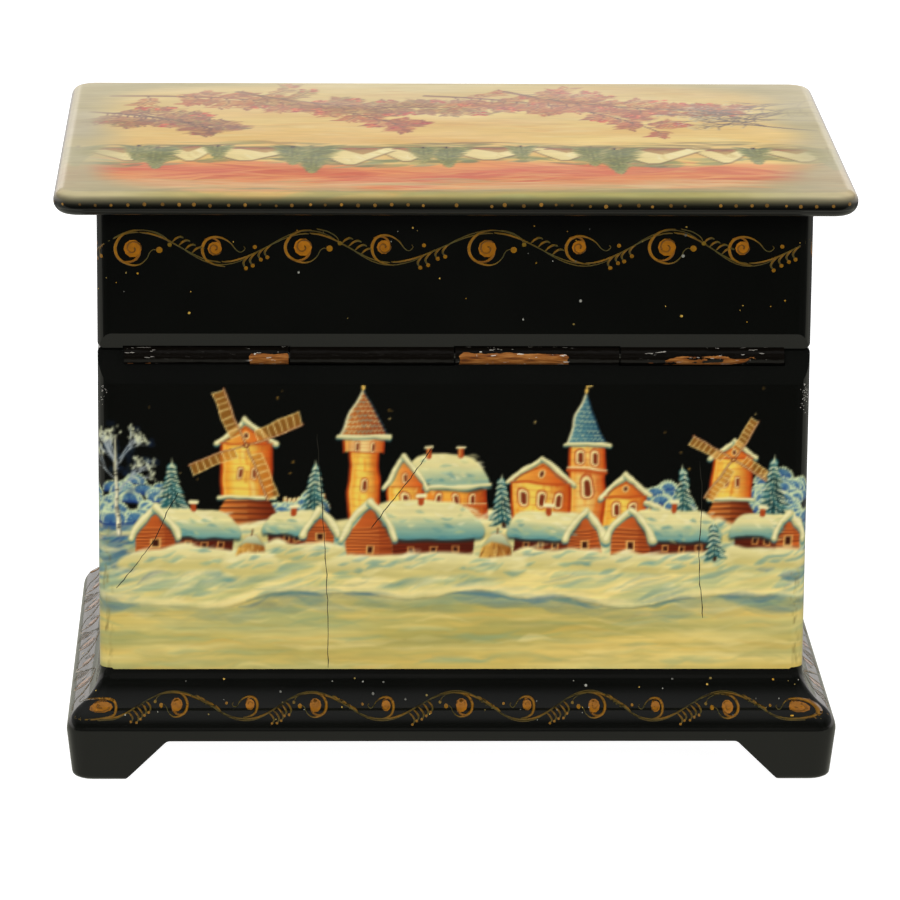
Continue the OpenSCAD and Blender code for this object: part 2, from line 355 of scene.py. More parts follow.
def studio_world():
    """Plain white behind the box. Its gloss sees pale walls behind and beside it, and a dark room ahead."""
    world = bpy.data.worlds.new("studio")
    bpy.context.scene.world = world
    world.use_nodes = True
    tree = world.node_tree
    tree.nodes.clear()
    way = add(tree, "ShaderNodeTexCoord").outputs["Generated"]
    aim = add(tree, "ShaderNodeSeparateXYZ", {0: way})
    walls = ramp(tree, span(tree, aim.outputs["Z"], -0.5, 1.0), [
        (0.0, "#5A5A58"), (1.0, "#8C8C8C"), (0.19, "#6E6E6C"), (0.27, "#D6D2CE"), (0.452, "#F2EEEA"),
        (0.476, "#7C7C7A"), (0.667, "#585858"),
    ])
    behind = span(tree, aim.outputs["Y"], -0.1, 0.45, 1.0, 0.05)
    overhead = span(tree, aim.outputs["Z"], 0.45, 0.8)
    shapes = ramp(tree, noise(tree, way, 5.0, 2.0), [(0.42, "#000000"), (0.68, "#8A8A8A")])
    ahead = sum_up(tree, behind, span(tree, shapes, 0.0, 1.0, 0.0, 0.5))
    share = sum_up(tree, ahead, overhead, "MAXIMUM")
    mirrored = add(tree, "ShaderNodeBackground", {"Color": walls, "Strength": share})
    ray = add(tree, "ShaderNodeLightPath")
    seen = add(tree, "ShaderNodeBackground", {"Color": (1.0, 1.0, 1.0, 1.0), "Strength": 1.0})
    room = add(tree, "ShaderNodeBackground", {"Color": (1.0, 1.0, 1.0, 1.0), "Strength": 0.18})
    inner = add(tree, "ShaderNodeMixShader", {
        0: ray.outputs["Is Glossy Ray"], 1: room.outputs["Background"], 2: mirrored.outputs["Background"],
    })
    both = add(tree, "ShaderNodeMixShader", {
        0: ray.outputs["Is Camera Ray"], 1: inner.outputs["Shader"], 2: seen.outputs["Background"],
    })
    add(tree, "ShaderNodeOutputWorld", {"Surface": both.outputs["Shader"]})


studio_world()


# CAD nodes, dressed

LACQUER = black_lacquer()
PAINTING = lacquered_painting()
RED = red_lacquer()
STEEL = steel_wire()
GOLD = gold_paint()
BARREL = worn_barrel()
CHIPPED = bare_ground()


def dress(node, material, body="case", angle=34):
    """A copy of a CAD node with its seams joined and its curves shaded smooth stands for the node."""
    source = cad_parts[node]
    mesh = source.data.copy()
    mesh.name = node + "_lacquered"
    bm = bmesh.new()
    bm.from_mesh(mesh)
    bmesh.ops.remove_doubles(bm, verts=bm.verts, dist=0.000002)
    bmesh.ops.dissolve_degenerate(bm, edges=bm.edges, dist=0.000001)
    bm.to_mesh(mesh)
    bm.free()
    mesh.materials.clear()
    mesh.materials.append(material)
    if mesh.has_custom_normals:
        mesh.attributes.remove(mesh.attributes["custom_normal"])
    mesh.shade_smooth()
    mesh.set_sharp_from_angle(angle=math.radians(angle))
    piece = put(mesh.name, mesh)
    even = piece.modifiers.new("flat_faces_lead", "WEIGHTED_NORMAL")
    even.keep_sharp = True
    even.weight = 80
    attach(piece, body)
    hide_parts(node)
    return piece


def red_inside(piece):
    """Red lacquer on the faces that look into the box."""
    piece.data.materials.append(RED)
    for face in piece.data.polygons:
        at, aim = face.center / MM, face.normal
        inner = max(abs(at.x) - INSIDE_X, abs(at.y) - INSIDE_Y) < 0.1
        looks_in = at.x * aim.x + at.y * aim.y < -10
        face.material_index = 1 if inner and looks_in else 0


# The bevels of the two walls stay crisp, which takes a smaller angle than the curves of the mouldings
red_inside(dress("case_wall", LACQUER, angle=20))
red_inside(dress("lid_wall", LACQUER, body="lid", angle=20))
dress("lid_top", LACQUER, body="lid")
for node in ("plinth_front", "plinth_back", "plinth_left", "plinth_right"):
    dress(node, LACQUER)
for node in ("case_knuckle_inner", "case_knuckle_outer"):
    dress(node, BARREL).visible_glossy = False
for node in ("lid_knuckle_inner", "lid_knuckle_outer"):
    dress(node, BARREL, body="lid").visible_glossy = False
dress("hinge_pin", STEEL)
dress("inner_collar", RED)
board = dress("floor_board", RED)
board.data.materials.append(LACQUER)
for face in board.data.polygons:
    face.material_index = 1 if face.normal.z < -0.5 else 0


# The painter's canvas

LACQUER_BLACK = "#0A0B09"
CORE_W = BODY_W - 2 * CORNER_R
CORE_D = BODY_D - 2 * CORNER_R
ARC = math.pi / 2 * CORNER_R
GIRTH = 2 * (CORE_W + CORE_D) + 4 * ARC

LATTICE = np.random.default_rng(7).random((64, 64))


def cloud(u, v, wide, high, shift=0):
    """Smooth random values from 0 to 1 in patches of a given size, closed round the box."""
    count = max(2, round(GIRTH / wide))
    a = u / GIRTH * count
    b = v / high + 3.7 * shift
    i, j = np.floor(a).astype(int), np.floor(b).astype(int)
    a, b = a - i, b - j
    a, b = a * a * (3 - 2 * a), b * b * (3 - 2 * b)
    here, there = i % count % 64, (i + 1) % count % 64
    near = LATTICE[here, (j + shift) % 64] * (1 - a) + LATTICE[there, (j + shift) % 64] * a
    far = LATTICE[here, (j + shift + 1) % 64] * (1 - a) + LATTICE[there, (j + shift + 1) % 64] * a
    return near * (1 - b) + far * b


def mix(first, second, share):
    """A colour between two, where share may be a number or an array."""
    first = srgb(first) if isinstance(first, str) else first
    second = srgb(second) if isinstance(second, str) else second
    return first + (second - first) * np.asarray(share)[..., None]


def across(first, second, start, end):
    """A colour that turns from one to another along u."""
    return lambda u, v: mix(first, second, np.clip((u - start) / (end - start), 0, 1))


def rising(first, second, start, end):
    """A colour that turns from one to another with height."""
    return lambda u, v: mix(first, second, np.clip((v - start) / (end - start), 0, 1))


class Canvas:
    """Colours on a fine raster, in millimetres, laid with soft-edged brushes."""

    def __init__(self, left, low, wide, high, step, wraps, ground):
        self.left, self.low, self.step, self.wraps = left, low, step, wraps
        self.across, self.up = round(wide / step), round(high / step)
        self.ink = np.empty((self.up, self.across, 3))
        self.ink[:] = srgb(ground)

    def patch(self, points, reach):
        """Rows, columns and places of the raster within reach of some points."""
        points = np.asarray(points, float)
        origin = np.array([self.left, self.low])
        first = np.floor((points.min(0) - reach - origin) / self.step).astype(int)
        last = np.ceil((points.max(0) + reach - origin) / self.step).astype(int)
        rows = np.arange(max(first[1], 0), min(last[1] + 1, self.up))
        cols = np.arange(first[0], last[0] + 1)
        if not self.wraps:
            cols = cols[(cols >= 0) & (cols < self.across)]
        u, v = np.meshgrid(self.left + (cols + 0.5) * self.step, self.low + (rows + 0.5) * self.step)
        return rows, cols % self.across, u, v

    def places(self):
        return np.meshgrid(self.left + (np.arange(self.across) + 0.5) * self.step,
                           self.low + (np.arange(self.up) + 0.5) * self.step)

    def lay(self, rows, cols, cover, colour):
        spot = np.ix_(rows, cols)
        self.ink[spot] += cover[..., None] * (colour - self.ink[spot])

    def stroke(self, points, width, colour, alpha=1.0, soft=0.3):
        """A brush stroke along points; width and alpha may change from point to point."""
        points = np.asarray(points, float)
        half = np.broadcast_to(np.asarray(width, float) / 2, len(points))
        rows, cols, u, v = self.patch(points, half.max() + soft)
        if not u.size:
            return
        strength = np.broadcast_to(np.asarray(alpha, float), len(points))
        cover = np.zeros(u.shape)
        for k in range(len(points) - 1):
            start, run = points[k], points[k + 1] - points[k]
            t = ((u - start[0]) * run[0] + (v - start[1]) * run[1]) / (run @ run + 1e-9)
            t = np.clip(t, 0, 1)
            gap = np.hypot(u - start[0] - t * run[0], v - start[1] - t * run[1])
            body = (half[k] + (half[k + 1] - half[k]) * t - gap) / soft + 0.5
            body = np.clip(body, 0, 1) * (strength[k] + (strength[k + 1] - strength[k]) * t)
            cover = np.maximum(cover, body)
        self.lay(rows, cols, cover, colour(u, v) if callable(colour) else srgb(colour))

    def fill(self, points, colour, alpha=1.0, soft=0.3):
        """A closed shape filled with paint, its edge as soft as asked."""
        points = np.asarray(points, float)
        rows, cols, u, v = self.patch(points, soft)
        if not u.size:
            return
        inside = np.zeros(u.shape, bool)
        gap = np.full(u.shape, 1e9)
        for start, end in zip(points, np.roll(points, -1, 0)):
            run = end - start
            t = np.clip(((u - start[0]) * run[0] + (v - start[1]) * run[1]) / (run @ run + 1e-9), 0, 1)
            gap = np.minimum(gap, np.hypot(u - start[0] - t * run[0], v - start[1] - t * run[1]))
            level = (v - start[1]) / (run[1] if abs(run[1]) > 1e-9 else 1e-9)
            inside ^= ((start[1] > v) != (end[1] > v)) & (u < start[0] + run[0] * level)
        cover = np.clip(np.where(inside, gap, -gap) / soft + 0.5, 0, 1) * alpha
        self.lay(rows, cols, cover, colour(u, v) if callable(colour) else srgb(colour))

    def band(self, start, end, low, high, colour, alpha=1.0, soft=0.4):
        """Paint between two lines of height, each a number or a function of u."""
        rows, cols, u, v = self.patch([(start, self.low), (end, self.low + self.up * self.step)], 0)
        floor = low(u) if callable(low) else low
        top = high(u) if callable(high) else high
        cover = np.clip((v - floor) / soft + 0.5, 0, 1) * np.clip((top - v) / soft + 0.5, 0, 1)
        cover = cover * (alpha(u, v) if callable(alpha) else alpha)
        self.lay(rows, cols, cover, colour(u, v) if callable(colour) else srgb(colour))

    def sample(self, u, v):
        """The colour at places on the canvas, evened between the raster's squares."""
        a = (np.asarray(u) - self.left) / self.step - 0.5
        b = np.clip((np.asarray(v) - self.low) / self.step - 0.5, 0, self.up - 1.001)
        if not self.wraps:
            a = np.clip(a, 0, self.across - 1.001)
        i, j = np.floor(a).astype(int), np.floor(b).astype(int)
        a, b = (a - i)[..., None], (b - j)[..., None]
        here, there, above = i % self.across, (i + 1) % self.across, np.minimum(j + 1, self.up - 1)
        low = self.ink[j, here] * (1 - a) + self.ink[j, there] * a
        high = self.ink[above, here] * (1 - a) + self.ink[above, there] * a
        return low * (1 - b) + high * b


def bent(start, end, sag, count=6):
    """Points of a gently bent line."""
    start, end = np.asarray(start, float), np.asarray(end, float)
    t = np.linspace(0, 1, count)[:, None]
    aside = np.array([-(end - start)[1], (end - start)[0]])
    return start + (end - start) * t + aside * sag * 4 * t * (1 - t)


# Motifs of the winter village

def box(left, right, low, high):
    return [(left, low), (left, high), (right, high), (right, low)]


def rounded(points, rounds=2):
    """A closed outline with its corners cut round."""
    points = np.asarray(points, float)
    for k in range(rounds):
        after = np.roll(points, -1, 0)
        points = np.stack([points * 0.75 + after * 0.25, points * 0.25 + after * 0.75], 1).reshape(-1, 2)
    return points


LOGS = "#7E2A12"
LIT_LOGS = "#D86A2C"
DARK_GLASS = "#34100A"


def windows(c, u, z, count, gap, size=1.0):
    """Arched windows in pale frames, drawn round in rust red."""
    for k in range(count):
        a = u + k * gap
        c.stroke([(a, z), (a, z + 1.7 * size)], 1.9 * size, "#B8441A", 0.75, 0.3)
        c.stroke([(a, z), (a, z + 1.6 * size)], 1.45 * size, "#FFF0B4", 0.95, 0.3)
        c.stroke([(a + 0.1, z + 0.05), (a + 0.1, z + 1.45 * size)], 0.8 * size, "#7A2A12", 0.95, 0.25)


def snow_edge(c, points, width, rng):
    """A thick lip of snow, swelling and thinning, with a blue underside and a lit top."""
    points = np.asarray(points, float)
    if len(points) == 2:
        points = bent(points[0], points[1], 0.0, 7)
    swell = width * rng.uniform(0.75, 1.35, len(points))
    points = points + (0, 0.12) * rng.uniform(-1, 1, (len(points), 1))
    c.stroke(points - (0, 0.38 * width), swell, "#3F7C8E", 0.8, 0.45)
    c.stroke(points, swell, "#D9D29A", 1, 0.35)
    c.stroke(points + (0, 0.2 * width), 0.55 * swell, "#FBF4C8", 0.95, 0.4)


def snow_cap(c, outline, rng, low, high):
    """Deep snow on a roof: a soft swollen outline, cream above and sea-blue where it turns under."""
    shape = rounded(outline)
    c.fill(shape - (0, 0.7), "#1F3A40", 0.75, 0.8)
    c.fill(shape, rising("#5F9CA6", "#F3E9B0", low - 0.6, low + 0.62 * (high - low)), 1, 0.45)
    left, right = shape[:, 0].min(), shape[:, 0].max()
    for k in range(int((right - left) * 2.2)):
        a = rng.uniform(left + 0.6, right - 1.6)
        over = shape[np.abs(shape[:, 0] - a).argsort()[:6], 1]
        b = rng.uniform(over.min() + 0.3, over.max() - 0.2)
        bright = (b - low) / (high - low) + rng.uniform(-0.35, 0.35)
        tone = rng.choice(["#FFF9D6", "#F6EDB8"] if bright > 0.5 else ["#8DB7AC", "#4F8FA2", "#C9CF98"])
        c.stroke(bent((a, b), (a + rng.uniform(1.0, 2.6), b - rng.uniform(-0.3, 0.9)),
                      rng.uniform(-0.15, 0.15)),
                 (0.1, 0.4, 0.7, 0.6, 0.4, 0.1), tone, 0.5, 0.35)


def cabin(c, u, z, rng, wide, tall, lean):
    """A log cabin half under snow: a gable end and a long side, roofs deep in soft snow."""
    near, far = u - lean * wide / 2, u + lean * wide / 2
    split = near + lean * wide * rng.uniform(0.34, 0.44)
    peak = (near + split) / 2
    eave, ridge = z + 0.40 * tall, z + tall
    c.fill([(near, z), (near, eave), (peak, ridge - 0.4), (split, eave), (split, z)],
           across(LIT_LOGS, LOGS, near, far))
    c.fill(box(split, far, z, eave + 0.5), across(LOGS, "#5A1E10", split, far))
    for k in range(int((eave - z) / 0.8) + 3):
        y = z + 0.2 + 0.8 * k
        half = min(1.0, (ridge - y) / (ridge - eave)) * abs(split - near) / 2 - 0.2
        if half > 0.5:
            end = (peak + half, y + rng.uniform(-0.15, 0.15))
            c.stroke([(peak - half, y), end], 0.28, "#5A1C0C", 0.7, 0.25)
            c.stroke([(peak - half, y + 0.35), (peak + half * 0.4, y + 0.35)], 0.24, "#F09A50", 0.6, 0.3)
        if y < eave:
            c.stroke([(split, y), (far, y + rng.uniform(-0.15, 0.15))], 0.28, "#3D140A", 0.7, 0.25)
    step = (far - split) / 3.4
    for k in range(2 + int(wide > 17)):
        a = split + step * (0.75 + 0.95 * k)
        c.fill(box(a - 0.75, a + 0.75, z + 0.8, z + 2.5), "#E9A45A", 0.9, 0.25)
        c.fill(box(a - 0.45, a + 0.45, z + 1.1, z + 2.2), DARK_GLASS, 0.95, 0.25)
    c.fill(box(peak - 0.95, peak + 0.95, z + 0.9, z + 3.0), "#F3BE72", 0.9, 0.25)
    c.fill(box(peak - 0.55, peak + 0.55, z + 1.25, z + 2.7), DARK_GLASS, 0.95, 0.25)
    sag = rng.uniform(-0.5, 0.9)
    t = np.linspace(0, 1, 6)
    brim = np.stack([far + (split - far) * t, eave - 0.5 + rng.uniform(-0.5, 0.4, 6)], -1)
    roof = [(peak - lean * 0.4, ridge + 0.5), ((peak + far) / 2, ridge + 0.7 - sag),
            (far - lean * 0.1 * wide, ridge + 0.2), (far + lean * 0.06 * wide, (ridge + eave) / 2),
            (far + lean * 0.09 * wide, eave - 0.4), *brim]
    snow_cap(c, roof, rng, eave, ridge)
    snow_edge(c, bent((near - lean * 0.9, eave - 0.7), (peak, ridge + 0.3), 0.08 * lean), 1.5, rng)
    snow_edge(c, bent((peak, ridge + 0.3), (split + lean * 0.5, eave - 0.6), 0.08 * lean), 1.3, rng)
    a = peak + (far - peak) * 0.5
    c.stroke([(a, ridge), (a, ridge + 1.3)], 1.2, "#B4481C", 1, 0.3)
    c.stroke([(a - 0.7, ridge + 1.6), (a + 0.7, ridge + 1.6)], 0.9, "#FBF4C8", 1, 0.35)


def timber(c, left, right, low, high, planks=1.6, lit="#FFDC64", warm="#FB901C", shade="#CC4A10"):
    """A wall of gold timber: pale where the light falls, glowing at its edges, outlined in rust red."""
    hand = np.random.default_rng(int(abs(left) * 100 + abs(high) * 10))
    middle = left + (right - left) * 0.4
    c.fill(box(left, right, low, high), lambda u, v: np.where(
        (u < middle)[..., None],
        mix(warm, lit, np.clip((u - left) / (middle - left) * 1.6, 0, 1)),
        mix(lit, shade, np.clip((u - middle) / (right - middle) * 1.15 - 0.15, 0, 1) ** 1.4)), 1, 0.3)
    for k in range(int((right - left) * (high - low) / 5)):
        a = hand.uniform(left + 0.3, right - 0.3)
        b = hand.uniform(low, high)
        shady = (a - left) / (right - left) + hand.uniform(-0.3, 0.3) > 0.62
        end = (a + hand.uniform(-0.3, 0.3), min(high, b + hand.uniform(1.5, 4)))
        wide = hand.uniform(0.3, 0.7)
        tone = hand.choice(["#E8741F", "#D9601C"] if shady else ["#FFF0A8", "#FFC04E", "#F99A32", "#F58A2A"])
        c.stroke([(a, b), end], wide, tone, 0.4, 0.4)
    for k in range(1, int((high - low) / planks) + 1):
        y = low + k * planks + hand.uniform(-0.15, 0.15)
        if y < high - 0.3:
            c.stroke([(left, y), (right, y + hand.uniform(-0.2, 0.2))], 0.22, "#D2601F", 0.4, 0.25)
    for edge in (left, right):
        c.stroke([(edge, low), (edge, high)], 0.5, "#B23A12", 0.9, 0.3)
    c.stroke([(left, high), (right, high)], 0.5, "#C84E18", 0.85, 0.3)
    c.stroke([(left + 0.6, low), (left + 0.6, high - 0.4)], 0.4, "#FFD472", 0.7, 0.3)


def tent(c, u, z, wide, tall, rng, tiles=("#1F4A6B", "#5D93A4")):
    """A tall tent roof in rows of frosted shingles, with a weather vane."""
    left, right, tip = (u - wide / 2, z), (u + wide / 2, z), (u, z + tall)
    c.fill([left, right, tip], across(tiles[1], tiles[0], u - wide / 2, u + wide / 2), 1, 0.3)
    rows = int(tall / 0.95)
    for k in range(rows):
        t = k / rows
        half = wide / 2 * (1 - t)
        y = z + tall * t
        count = max(1, int(half * 2 / 0.9))
        for m in range(count):
            a = u - half + (m + 0.5) * 2 * half / count
            tone = "#DDE6BE" if rng.random() < 0.55 else "#8FB7B2"
            c.stroke([(a - 0.35, y + 0.35), (a, y), (a + 0.35, y + 0.35)], 0.26, tone, 0.75, 0.22)
    c.stroke([left, tip], 0.55, "#F0EBC4", 0.85, 0.3)
    c.stroke([right, tip], 0.35, "#17344E", 0.8, 0.3)
    snow_edge(c, [(left[0] - 0.5, z - 0.1), (right[0] + 0.5, z - 0.1)], 0.8, rng)
    c.stroke([tip, (u, tip[1] + 2.2)], 0.35, "#E9B24A", 1, 0.25)
    c.stroke([(u, tip[1] + 1.9), (u + 1.3, tip[1] + 1.6), (u, tip[1] + 1.3)], 0.3, "#F3CF78", 1, 0.25)
    c.stroke([(u, tip[1] + 0.5), (u, tip[1] + 0.55)], 0.9, "#F3C868", 1, 0.3)


def gable_roof(c, left, right, z, rise, rng):
    peak = (left + right) / 2
    c.fill([(left - 0.5, z), (peak, z + rise), (right + 0.5, z)],
           across("#FFC04E", "#D9541A", left, right), 1, 0.3)
    c.stroke([(peak, z + rise * 0.32), (peak, z + rise * 0.4)], 1.3, "#F7E2A6", 0.9, 0.3)
    c.stroke([(peak, z + rise * 0.32), (peak, z + rise * 0.4)], 0.7, "#5A1E10", 0.95, 0.25)
    snow_edge(c, [(left - 0.9, z - 0.2), (peak, z + rise + 0.2)], 1.0, rng)
    snow_edge(c, [(peak, z + rise + 0.2), (right + 0.9, z - 0.2)], 1.0, rng)
    c.stroke(bent((left + 0.6, z + 0.4), (peak, z + rise - 1.4), 0.0), 0.3, "#B23A12", 0.8, 0.25)
    c.stroke(bent((peak, z + rise - 1.4), (right - 0.6, z + 0.4), 0.0), 0.3, "#B23A12", 0.8, 0.25)
    c.stroke([(left, z - 0.15), (right, z - 0.15)], 0.5, "#C8521E", 0.8, 0.3)


def windmill(c, u, z, rng, tall, turned):
    """A post mill of gold planks on a log pyramid, with a snowy cap and four lattice sails."""
    base = z + 0.25 * tall
    c.fill([(u - 0.30 * tall, z), (u - 0.17 * tall, base), (u + 0.17 * tall, base), (u + 0.30 * tall, z)],
           across("#E88236", "#7A2A12", u - 0.2 * tall, u + 0.2 * tall), 1, 0.3)
    for k in range(5):
        y = z + k * 0.05 * tall
        half = (0.30 - 0.026 * k) * tall
        c.stroke([(u - half, y), (u + half, y)], 0.35, "#3D150B", 0.7, 0.3)
        c.stroke([(u - half, y + 0.4), (u, y + 0.4)], 0.25, "#F0A95C", 0.6, 0.3)
    left, right, top = u - 0.21 * tall, u + 0.21 * tall, z + 0.72 * tall
    timber(c, left, right, base, top)
    snow_edge(c, [(left - 0.5, base), (right + 0.5, base)], 0.7, rng)
    gable_roof(c, left, right, top, 0.2 * tall, rng)
    windows(c, u - 0.06 * tall, base + 0.16 * tall, 2, 0.12 * tall, 0.75)
    hub = np.array([u, top - 0.02 * tall])
    for quarter in range(4):
        angle = turned + quarter * math.pi / 2
        along = np.array([math.cos(angle), math.sin(angle)])
        aside = np.array([-along[1], along[0]])
        reach = 0.5 * tall
        sail = [hub + along * reach * 0.22, hub + along * reach,
                hub + along * reach + aside * 0.1 * tall, hub + along * reach * 0.22 + aside * 0.1 * tall]
        c.fill(sail, "#C8822E", 0.7, 0.3)
        for k in range(8):
            t = 0.22 + 0.78 * k / 7
            c.stroke([hub + along * reach * t, hub + along * reach * t + aside * 0.1 * tall], 0.22,
                     "#F6DFA0", 0.95, 0.22)
        c.stroke([sail[3], sail[2]], 0.25, "#F3CF86", 0.95, 0.22)
        c.stroke([hub, hub + along * reach * 1.02], 0.45, "#7A3013", 1, 0.25)
        c.stroke([hub, hub + along * reach * 1.02], 0.2, "#FBE9B6", 1, 0.22)
    c.stroke([hub, hub + (0.01, 0)], 1.3, "#7A3013", 1, 0.3)
    c.stroke([hub, hub + (0.01, 0)], 0.6, "#F3CF86", 1, 0.3)


def fir(c, u, z, rng, tall, boughs=("#12343A", "#1B4A52", "#26606A"),
        frost=("#DCE5C2", "#A9C9C4", "#F3F0CF")):
    """A fir with drooping boughs, each with frost along its upper side."""
    c.stroke([(u, z - 0.5), (u, z + tall * 0.3)], 0.8, "#3A2113", 1, 0.3)
    tiers = max(5, int(tall / 1.15))
    for k in range(tiers):
        t = k / tiers
        y = z + tall * (0.08 + 0.9 * t)
        reach = tall * 0.27 * (1 - t) ** 0.9 + 0.4
        for m in range(7):
            s = (m - 3) / 3
            tip = (u + s * reach * rng.uniform(0.85, 1.1), y - abs(s) * reach * 0.42 - rng.uniform(0, 0.5))
            c.stroke(bent((u + s * 0.2, y + 0.6), tip, -0.08 * s), (0.5, 0.9, 1.1, 1.0, 0.6, 0.15),
                     rng.choice(boughs), 1, 0.3)
        for m in range(6):
            s = (m - 2.5) / 2.5
            tip = np.array((u + s * reach * rng.uniform(0.8, 1.05), y - abs(s) * reach * 0.40))
            root = tip + (-s * reach * 0.45, 0.5 + 0.2 * reach)
            c.stroke(bent(root, tip, -0.08 * s), (0.15, 0.3, 0.45, 0.5, 0.4, 0.15),
                     rng.choice(frost), 0.8, 0.25)
    c.stroke([(u, z + tall * 0.94), (u, z + tall + 0.5)], (0.5, 0.1), frost[0], 0.9, 0.25)


def frosted(c, u, z, rng, wide, tall):
    """Frosted scrub: overlapping fans of twigs, blue inside and stippled pale at their edges."""
    count = int(max(6, wide * tall / 3.0))
    for k in range(count):
        t = k / count
        a = u + rng.uniform(-0.5, 0.5) * wide
        dome = math.sqrt(max(0.05, 1 - ((a - u) / (0.55 * wide)) ** 2))
        b = z + (1 - t) * tall * dome * rng.uniform(0.7, 1)
        r = rng.uniform(1.3, 2.2)
        fan = np.linspace(-0.3, math.pi + 0.3, 12)
        c.fill([(a + r * math.cos(f), b + r * 0.9 * math.sin(f)) for f in fan],
               rising("#1E3C86", "#5B8FB4", b - r * 0.3, b + r), 0.95, 0.5)
        for f in np.linspace(0.05, math.pi - 0.05, 11):
            end = (a + r * 1.05 * math.cos(f), b + r * math.sin(f))
            c.stroke([(a + 0.3 * r * math.cos(f), b + 0.3 * r * math.sin(f)), end], (0.15, 0.3),
                     rng.choice(["#5B8FB4", "#86B3BE", "#3E6FA8"]), 0.7, 0.25)
            c.stroke([end, (end[0] + 0.05, end[1] + 0.1)], rng.uniform(0.35, 0.6), "#DDEBC4", 0.9, 0.25)


def twigs(c, u, z, length, angle, width, depth, rng, colour, frost):
    """A branch that forks again and again, with frost on its finest twigs."""
    tip = np.array([u + length * math.cos(angle), z + length * math.sin(angle)])
    c.stroke(bent((u, z), tip, rng.uniform(-0.1, 0.1)), np.linspace(width, width * 0.6, 6), colour, 0.95,
             0.22)
    if depth == 0:
        for k in range(3):
            at = tip + rng.uniform(-0.6, 0.6, 2)
            c.stroke([at, at + rng.uniform(-0.3, 0.3, 2)], 0.35, frost, 0.75, 0.3)
        return
    for side in (-1, 1, rng.choice([-0.4, 0.4])):
        at = np.array([u, z]) + (tip - (u, z)) * rng.uniform(0.55, 1)
        twigs(c, at[0], at[1], length * rng.uniform(0.55, 0.75), angle + side * rng.uniform(0.3, 0.6),
              width * 0.6, depth - 1, rng, colour, frost)


def birch(c, u, z, rng, tall):
    """A birch in hoarfrost: a pale marked trunk under a haze of fine twigs."""
    crown = z + 0.55 * tall
    for k in range(int(tall * 2.2)):
        a = u + rng.normal(0, 0.17) * tall
        b = crown + rng.normal(0.06, 0.16) * tall
        c.stroke([(a, b), (a + rng.uniform(-0.8, 0.8), b + rng.uniform(-0.9, 0.3))], rng.uniform(0.5, 1.4),
                 rng.choice(["#24407F", "#3E6399", "#1B2F60"]), 0.28, 0.8)
    for k in range(9):
        t = rng.uniform(0.3, 0.95)
        side = 1 if k % 2 else -1
        twigs(c, u + 0.3 * side * t, z + tall * t * 0.75, tall * 0.2 * (1.25 - t * 0.5),
              math.pi / 2 - side * rng.uniform(0.35, 0.8), 0.34, 2, rng, "#A9B4C4", "#E6EBD0")
    trunk = bent((u, z), (u + rng.uniform(-0.6, 0.6), z + tall * 0.86), rng.uniform(-0.04, 0.04), 8)
    c.stroke(trunk, np.linspace(1.25, 0.25, 8), "#8E8F86", 1, 0.25)
    c.stroke(trunk - (0.12, 0), np.linspace(0.8, 0.15, 8), "#F3EFD6", 1, 0.25)
    for k in range(int(tall * 0.7)):
        at = trunk[0] + (trunk[5] - trunk[0]) * rng.random()
        c.stroke([at - (0.3, 0), at + (0.2, 0.05)], 0.22, "#2B2A2A", 0.8, 0.2)


def haystack(c, u, z, rng, wide, tall):
    """A haystack with a cap of snow."""
    edge = [(u - wide / 2, z), (u - wide * 0.42, z + tall * 0.45), (u - wide * 0.2, z + tall * 0.9),
            (u, z + tall), (u + wide * 0.2, z + tall * 0.9), (u + wide * 0.42, z + tall * 0.45),
            (u + wide / 2, z)]
    c.fill(edge, across("#E9B85C", "#8A4A1A", u - wide * 0.4, u + wide * 0.5), 1, 0.4)
    for k in range(int(wide * 4)):
        a = u + rng.uniform(-0.42, 0.42) * wide
        b = z + rng.uniform(0.05, 0.6) * tall
        c.stroke([(a, b), (a + (a - u) * 0.15, b - rng.uniform(0.6, 1.5))], 0.2,
                 rng.choice(["#F7DA90", "#7A3C14", "#D08A34"]), 0.6, 0.22)
    cap = edge[1:6]
    c.fill(cap + [(u + wide * 0.15, z + tall * 0.55), (u - wide * 0.15, z + tall * 0.62)],
           rising("#9DB19A", "#F6F0C9", z + tall * 0.5, z + tall), 0.97, 0.6)
    c.stroke([(u, z + tall - 0.3), (u + 0.2, z + tall + 0.9)], 0.3, "#5A3418", 1, 0.25)


def swept(c, u, v, long, slope, width, tone, alpha, rng):
    """One full brush stroke of snow, thick in its middle and gone at its ends."""
    c.stroke(bent((u, v), (u + long, v + long * slope), rng.uniform(-0.12, 0.12)),
             np.array([0.1, 0.6, 1, 0.9, 0.5, 0.1]) * width, tone, alpha, 0.45)


def bank(c, u, z, wide, rng):
    """Snow banked against what stands behind it, its crest uneven and its foot lost in the field."""
    crest = z + 0.6 + 0.5 * np.sin(np.linspace(rng.uniform(0, 6), 9, 9))
    crest[rng.integers(1, 8)] += 1.3
    a = u + np.linspace(-0.62, 0.62, 9) * wide
    crest -= 2.0 * np.linspace(-1, 1, 9) ** 4
    c.fill(rounded(np.concatenate([np.stack([a, crest], -1), [(a[-1] - 1, z - 4), (a[0] + 1, z - 4)]])),
           rising("#D9CC88", "#F8F0BE", z - 3, z + 0.8), 1, 0.9)
    for k in range(int(wide * 1.6)):
        at = rng.uniform(a[0], a[-1] - 2)
        top = float(np.interp(at, a, crest))
        drop = rng.uniform(0.3, 4.0)
        tone = rng.choice(CREST if drop < 1.4 else FOOT)
        swept(c, at, top - drop, rng.uniform(2, 5), rng.uniform(0.05, 0.4), rng.uniform(0.5, 1.1), tone,
              0.5, rng)


def horizon(u):
    """The height of the snow's far edge round the box."""
    t = u / GIRTH * 2 * math.pi
    return 56.0 + 1.5 * np.sin(3 * t + 0.6) + 1.0 * np.sin(7 * t + 2.0) + 0.5 * np.sin(15 * t)


